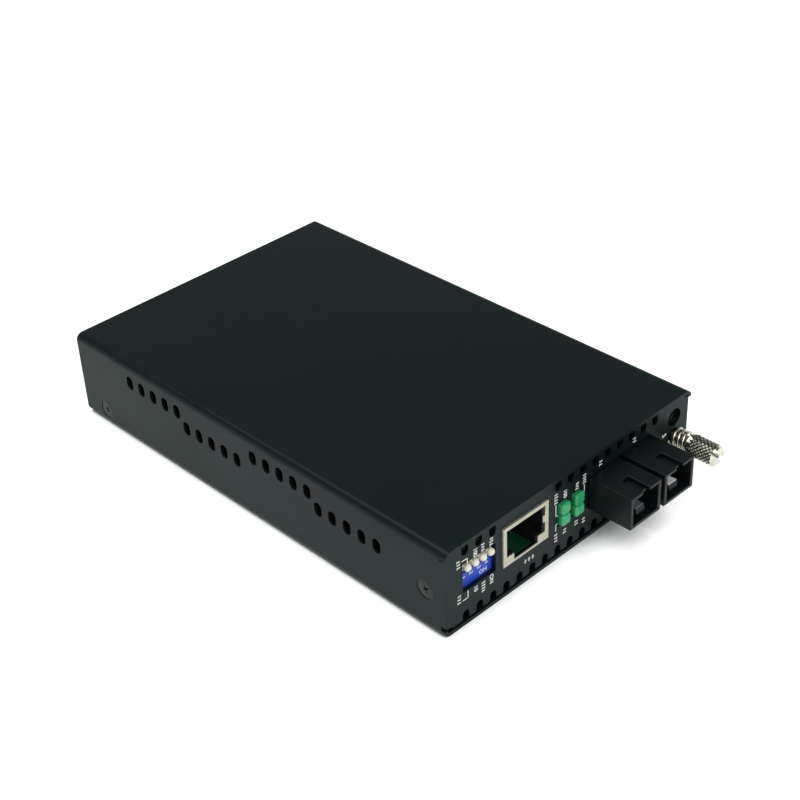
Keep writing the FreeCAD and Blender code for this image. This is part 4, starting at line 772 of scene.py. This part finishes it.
# %% Print under the jack, over the ports and beside the captive screw
CROSSES, CROSS_PITCH, CROSS_Z = 3, 1.3, 6.2
PORT_MARK_BOTTOM, PORT_MARK_TOP = 20.1 - 0.9, 20.1 + 0.9
jack_mid = middle("jack_shield").x / MM
for step in range(CROSSES):
    for width, height in ((0.34, 1.2), (0.8, 0.3)):
        ink_bar(marks, jack_mid + 0.2 + CROSS_PITCH * step, CROSS_Z, width, height)
for side in ("left", "right"):
    port_mid = middle(f"port_latch_{side}").x / MM
    ink_ticks(marks, port_mid - 1.0, PORT_MARK_BOTTOM, PORT_MARK_TOP)
ink_text(marks, "5", 2.2, axis_at.x / MM - 3.9, 15.0)
legend = make_piece("front_legends", marks, "case_paint", smooth=20)
legend.data.materials[0] = finishes["legend_white"]

# %% [markdown]
# The switch block has its own numbers, one for each lever, and a small ON that reads level.
# The block's face stands out from the plate, so they are a second piece at that face.

# %% Print the switch block
block_marks = bmesh.new()
block_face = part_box("switch_body")[0].y / MM
for way, x in enumerate(lever_mid, start=1):
    ink_text(block_marks, str(way), 1.5, x, 12.5, block_face)
ink_text(block_marks, "ON", 1.6, lever_mid[2] + 1.4, 10.7, block_face, READ_LEVEL)
block_legend = make_piece("switch_numbers", block_marks, "switch_blue", smooth=20)
block_legend.data.materials[0] = finishes["legend_white"]

# %% [markdown]
# ## The rear power inlet and the guide block
# A black socket with a centre pin is out of sight from the front, and it gets the same care. The
# guide block behind the plate shows through the round recess, so it gets the screws' black
# finish and an eased edge too.

# %% Ease the inlet and the guide block
eased_piece("inlet_housing", 0.15)
eased_piece("inlet_pin", 0.25, 3)
make_piece("screw_block_eased", ease_edges(merged_copy("screw_block"), 0.1), "black_screw",
           stands_for=["screw_block"])

# %% [markdown]
# ## Parts on the board
# These are hidden while the box is closed. Moulded and wound parts have soft edges too, and the
# board's own edge is broken by the cutter that routs it. One bevel each is enough here.

# %% Ease the parts on the board
for inner, edge_width in (("main_chip", 0.08), ("line_transformer", 0.15), ("clock_crystal", 0.2),
                          ("voltage_regulator", 0.08), ("power_inductor", 0.15),
                          ("bulk_capacitors", 0.25), ("board_standoffs", 0.15),
                          ("circuit_board", 0.06)):
    eased_piece(inner, edge_width)

# %% [markdown]
# ## The floor
# The box stands on wide white paper. Lamps strong enough to lift plain paper to white would wash
# out the black box, so the paper glows a little of its own instead. Only the camera's rays, rays
# that pass through something and, more weakly, mirrored rays see that glow, so it reaches the
# box only as a reflection. An occlusion mask cuts the glow where the box stands close over the
# paper, which paints a darker contact shadow under the ports and along the edges than the lamps
# alone leave, and the glow grows to full strength about a metre away, where the lamps no longer
# reach.

# %% The paper's size
FLOOR_REACH, FLOOR_DROP = 2.5, 0.05 * MM
floor_form = bmesh.new()
bmesh.ops.create_grid(floor_form, x_segments=1, y_segments=1, size=FLOOR_REACH)
bmesh.ops.translate(floor_form, vec=(0, 0, -FLOOR_DROP), verts=floor_form.verts)
floor_mesh = bpy.data.meshes.new("floor")
floor_form.to_mesh(floor_mesh)
floor_form.free()
floor = bpy.data.objects.new("floor", floor_mesh)
bpy.context.scene.collection.objects.link(floor)
floor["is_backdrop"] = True
print("floor reaches m:", FLOOR_REACH)

# %% The paper's finish
floor_paper = bpy.data.materials.new("floor_paper")
tree = emptied(floor_paper)
paper_out = add_node(tree, "ShaderNodeOutputMaterial")
paper = add_node(tree, "ShaderNodeBsdfPrincipled", values={
    "Base Color": tone(199, 203, 200), "Roughness": 0.9, "Specular IOR Level": 0.1,
    "Emission Color": (1, 1, 1, 1)})
# Painted shadow: this occlusion mask cuts the glow where the box is close, darkening the paper
# under the ports and along the edges.
nearness = add_node(tree, "ShaderNodeAmbientOcclusion", {"samples": 8}, {"Distance": 0.014})
near_glow = add_node(tree, "ShaderNodeMapRange",
                     values={"From Min": 0.33, "From Max": 0.58, "To Max": 0.78})
spot = add_node(tree, "ShaderNodeTexCoord")
away = add_node(tree, "ShaderNodeVectorMath", {"operation": "LENGTH"})
far_glow = add_node(tree, "ShaderNodeMapRange", values={"From Min": 0.4, "From Max": 1.2})
glow = add_node(tree, "ShaderNodeMath", {"operation": "MAXIMUM"})
rays = add_node(tree, "ShaderNodeLightPath")
mirrored = add_node(tree, "ShaderNodeMath", {"operation": "MULTIPLY"}, {1: 0.6})
seen = add_node(tree, "ShaderNodeMath", {"operation": "MAXIMUM"})
seen_or_through = add_node(tree, "ShaderNodeMath", {"operation": "MAXIMUM"})
lift = add_node(tree, "ShaderNodeMath", {"operation": "MULTIPLY"})
link(tree,
     (nearness.outputs["AO"], near_glow.inputs["Value"]),
     (spot.outputs["Object"], away.inputs[0]),
     (away.outputs["Value"], far_glow.inputs["Value"]),
     (far_glow.outputs["Result"], glow.inputs[0]),
     (near_glow.outputs["Result"], glow.inputs[1]),
     (rays.outputs["Is Camera Ray"], seen.inputs[0]),
     (rays.outputs["Is Glossy Ray"], mirrored.inputs[0]),
     (mirrored.outputs[0], seen.inputs[1]),
     (seen.outputs[0], seen_or_through.inputs[0]),
     (rays.outputs["Is Transmission Ray"], seen_or_through.inputs[1]),
     (seen_or_through.outputs[0], lift.inputs[0]),
     (glow.outputs[0], lift.inputs[1]),
     (lift.outputs[0], paper.inputs["Emission Strength"]),
     (paper.outputs[0], paper_out.inputs[0]))
floor_mesh.materials.append(floor_paper)
print("paper:", len(tree.nodes), "nodes")

# %% [markdown]
# ## The light
# A black satin surface shows mostly what it reflects: the side walls mirror the bright floor,
# and the roof mirrors the dim upper part of the room. So the world is bright near the horizon
# and dim above, which no single world colour would give. Three soft lamps add to it: a broad one
# high up and a little behind, one in front of the plate, and a weak one on the right. Places and
# sizes are in metres, and power is in watts.

# %% World
world = bpy.data.worlds.new("studio")
bpy.context.scene.world = world
tree = emptied(world)
sky_out = add_node(tree, "ShaderNodeOutputWorld")
sky = add_node(tree, "ShaderNodeBackground")
direction = add_node(tree, "ShaderNodeTexCoord")
split = add_node(tree, "ShaderNodeSeparateXYZ")
upward = add_node(tree, "ShaderNodeMapRange", values={"From Min": 0.12, "From Max": 0.4})
shade = add_node(tree, "ShaderNodeMix", {"data_type": "RGBA"},
                 {6: (1, 1, 1, 1), 7: (0.12, 0.125, 0.125, 1)})
link(tree,
     (direction.outputs["Generated"], split.inputs[0]),
     (split.outputs["Z"], upward.inputs["Value"]),
     (upward.outputs["Result"], shade.inputs[0]),
     (shade.outputs[2], sky.inputs["Color"]),
     (sky.outputs[0], sky_out.inputs[0]))
print("world:", world.name)

# %% Lamps
LAMP_AIM = Vector((0, 0, 0.01))
for name, at, size, power in (("high_lamp", (-0.18, 0.16, 0.9), 0.8, 6.0),
                              ("front_lamp", (-0.15, -0.8, 0.45), 0.5, 4.1),
                              ("right_lamp", (0.8, -0.3, 0.5), 0.5, 0.3)):
    lamp = bpy.data.lights.new(name, "AREA")
    lamp.size = size
    lamp.energy = power
    holder = bpy.data.objects.new(name, lamp)
    holder.location = at
    holder.rotation_euler = (LAMP_AIM - Vector(at)).to_track_quat("-Z", "Y").to_euler()
    bpy.context.scene.collection.objects.link(holder)
    print(f"{name}: {power} W, {size} m wide")

# %% [markdown]
# ## Camera
# A long lens looks down on the front left corner from about 42 cm away. The place is worked out
# from two angles, a small roll and a distance, with a small shift to the right and up, because
# these can be judged by eye and changed one at a time. A typed matrix can't.

# %% Place the camera
AZIMUTH, ELEVATION, ROLL = math.radians(-43.004), math.radians(33.824), math.radians(-2.854)
DISTANCE, SHIFT_RIGHT, SHIFT_UP = 0.424801, 0.006449, 0.010316
LENS_LENGTH, SENSOR_WIDTH = 71.64, 36
toward_lens = Vector((math.sin(AZIMUTH) * math.cos(ELEVATION),
                      -math.cos(AZIMUTH) * math.cos(ELEVATION), math.sin(ELEVATION)))
level_right = Vector((0, 0, 1)).cross(toward_lens).normalized()
level_up = toward_lens.cross(level_right)
right = level_right * math.cos(ROLL) + level_up * math.sin(ROLL)
up = level_up * math.cos(ROLL) - level_right * math.sin(ROLL)
camera_data = bpy.data.cameras.new("camera")
camera_data.lens = LENS_LENGTH
camera_data.sensor_width = SENSOR_WIDTH
camera = bpy.data.objects.new("camera", camera_data)
position = DISTANCE * toward_lens + SHIFT_RIGHT * right + SHIFT_UP * up
camera.matrix_world = Matrix.Translation(position) @ Matrix(
    (right, up, toward_lens)).transposed().to_4x4()
bpy.context.scene.collection.objects.link(camera)
bpy.context.scene.camera = camera
bpy.context.scene.view_settings.view_transform = "Standard"
print("camera at mm:", in_mm([position]))

# %% Print the dressed size, and finish
shown_box = [list(corner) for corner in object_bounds()]
print("dressed box in mm:", in_mm(shown_box))
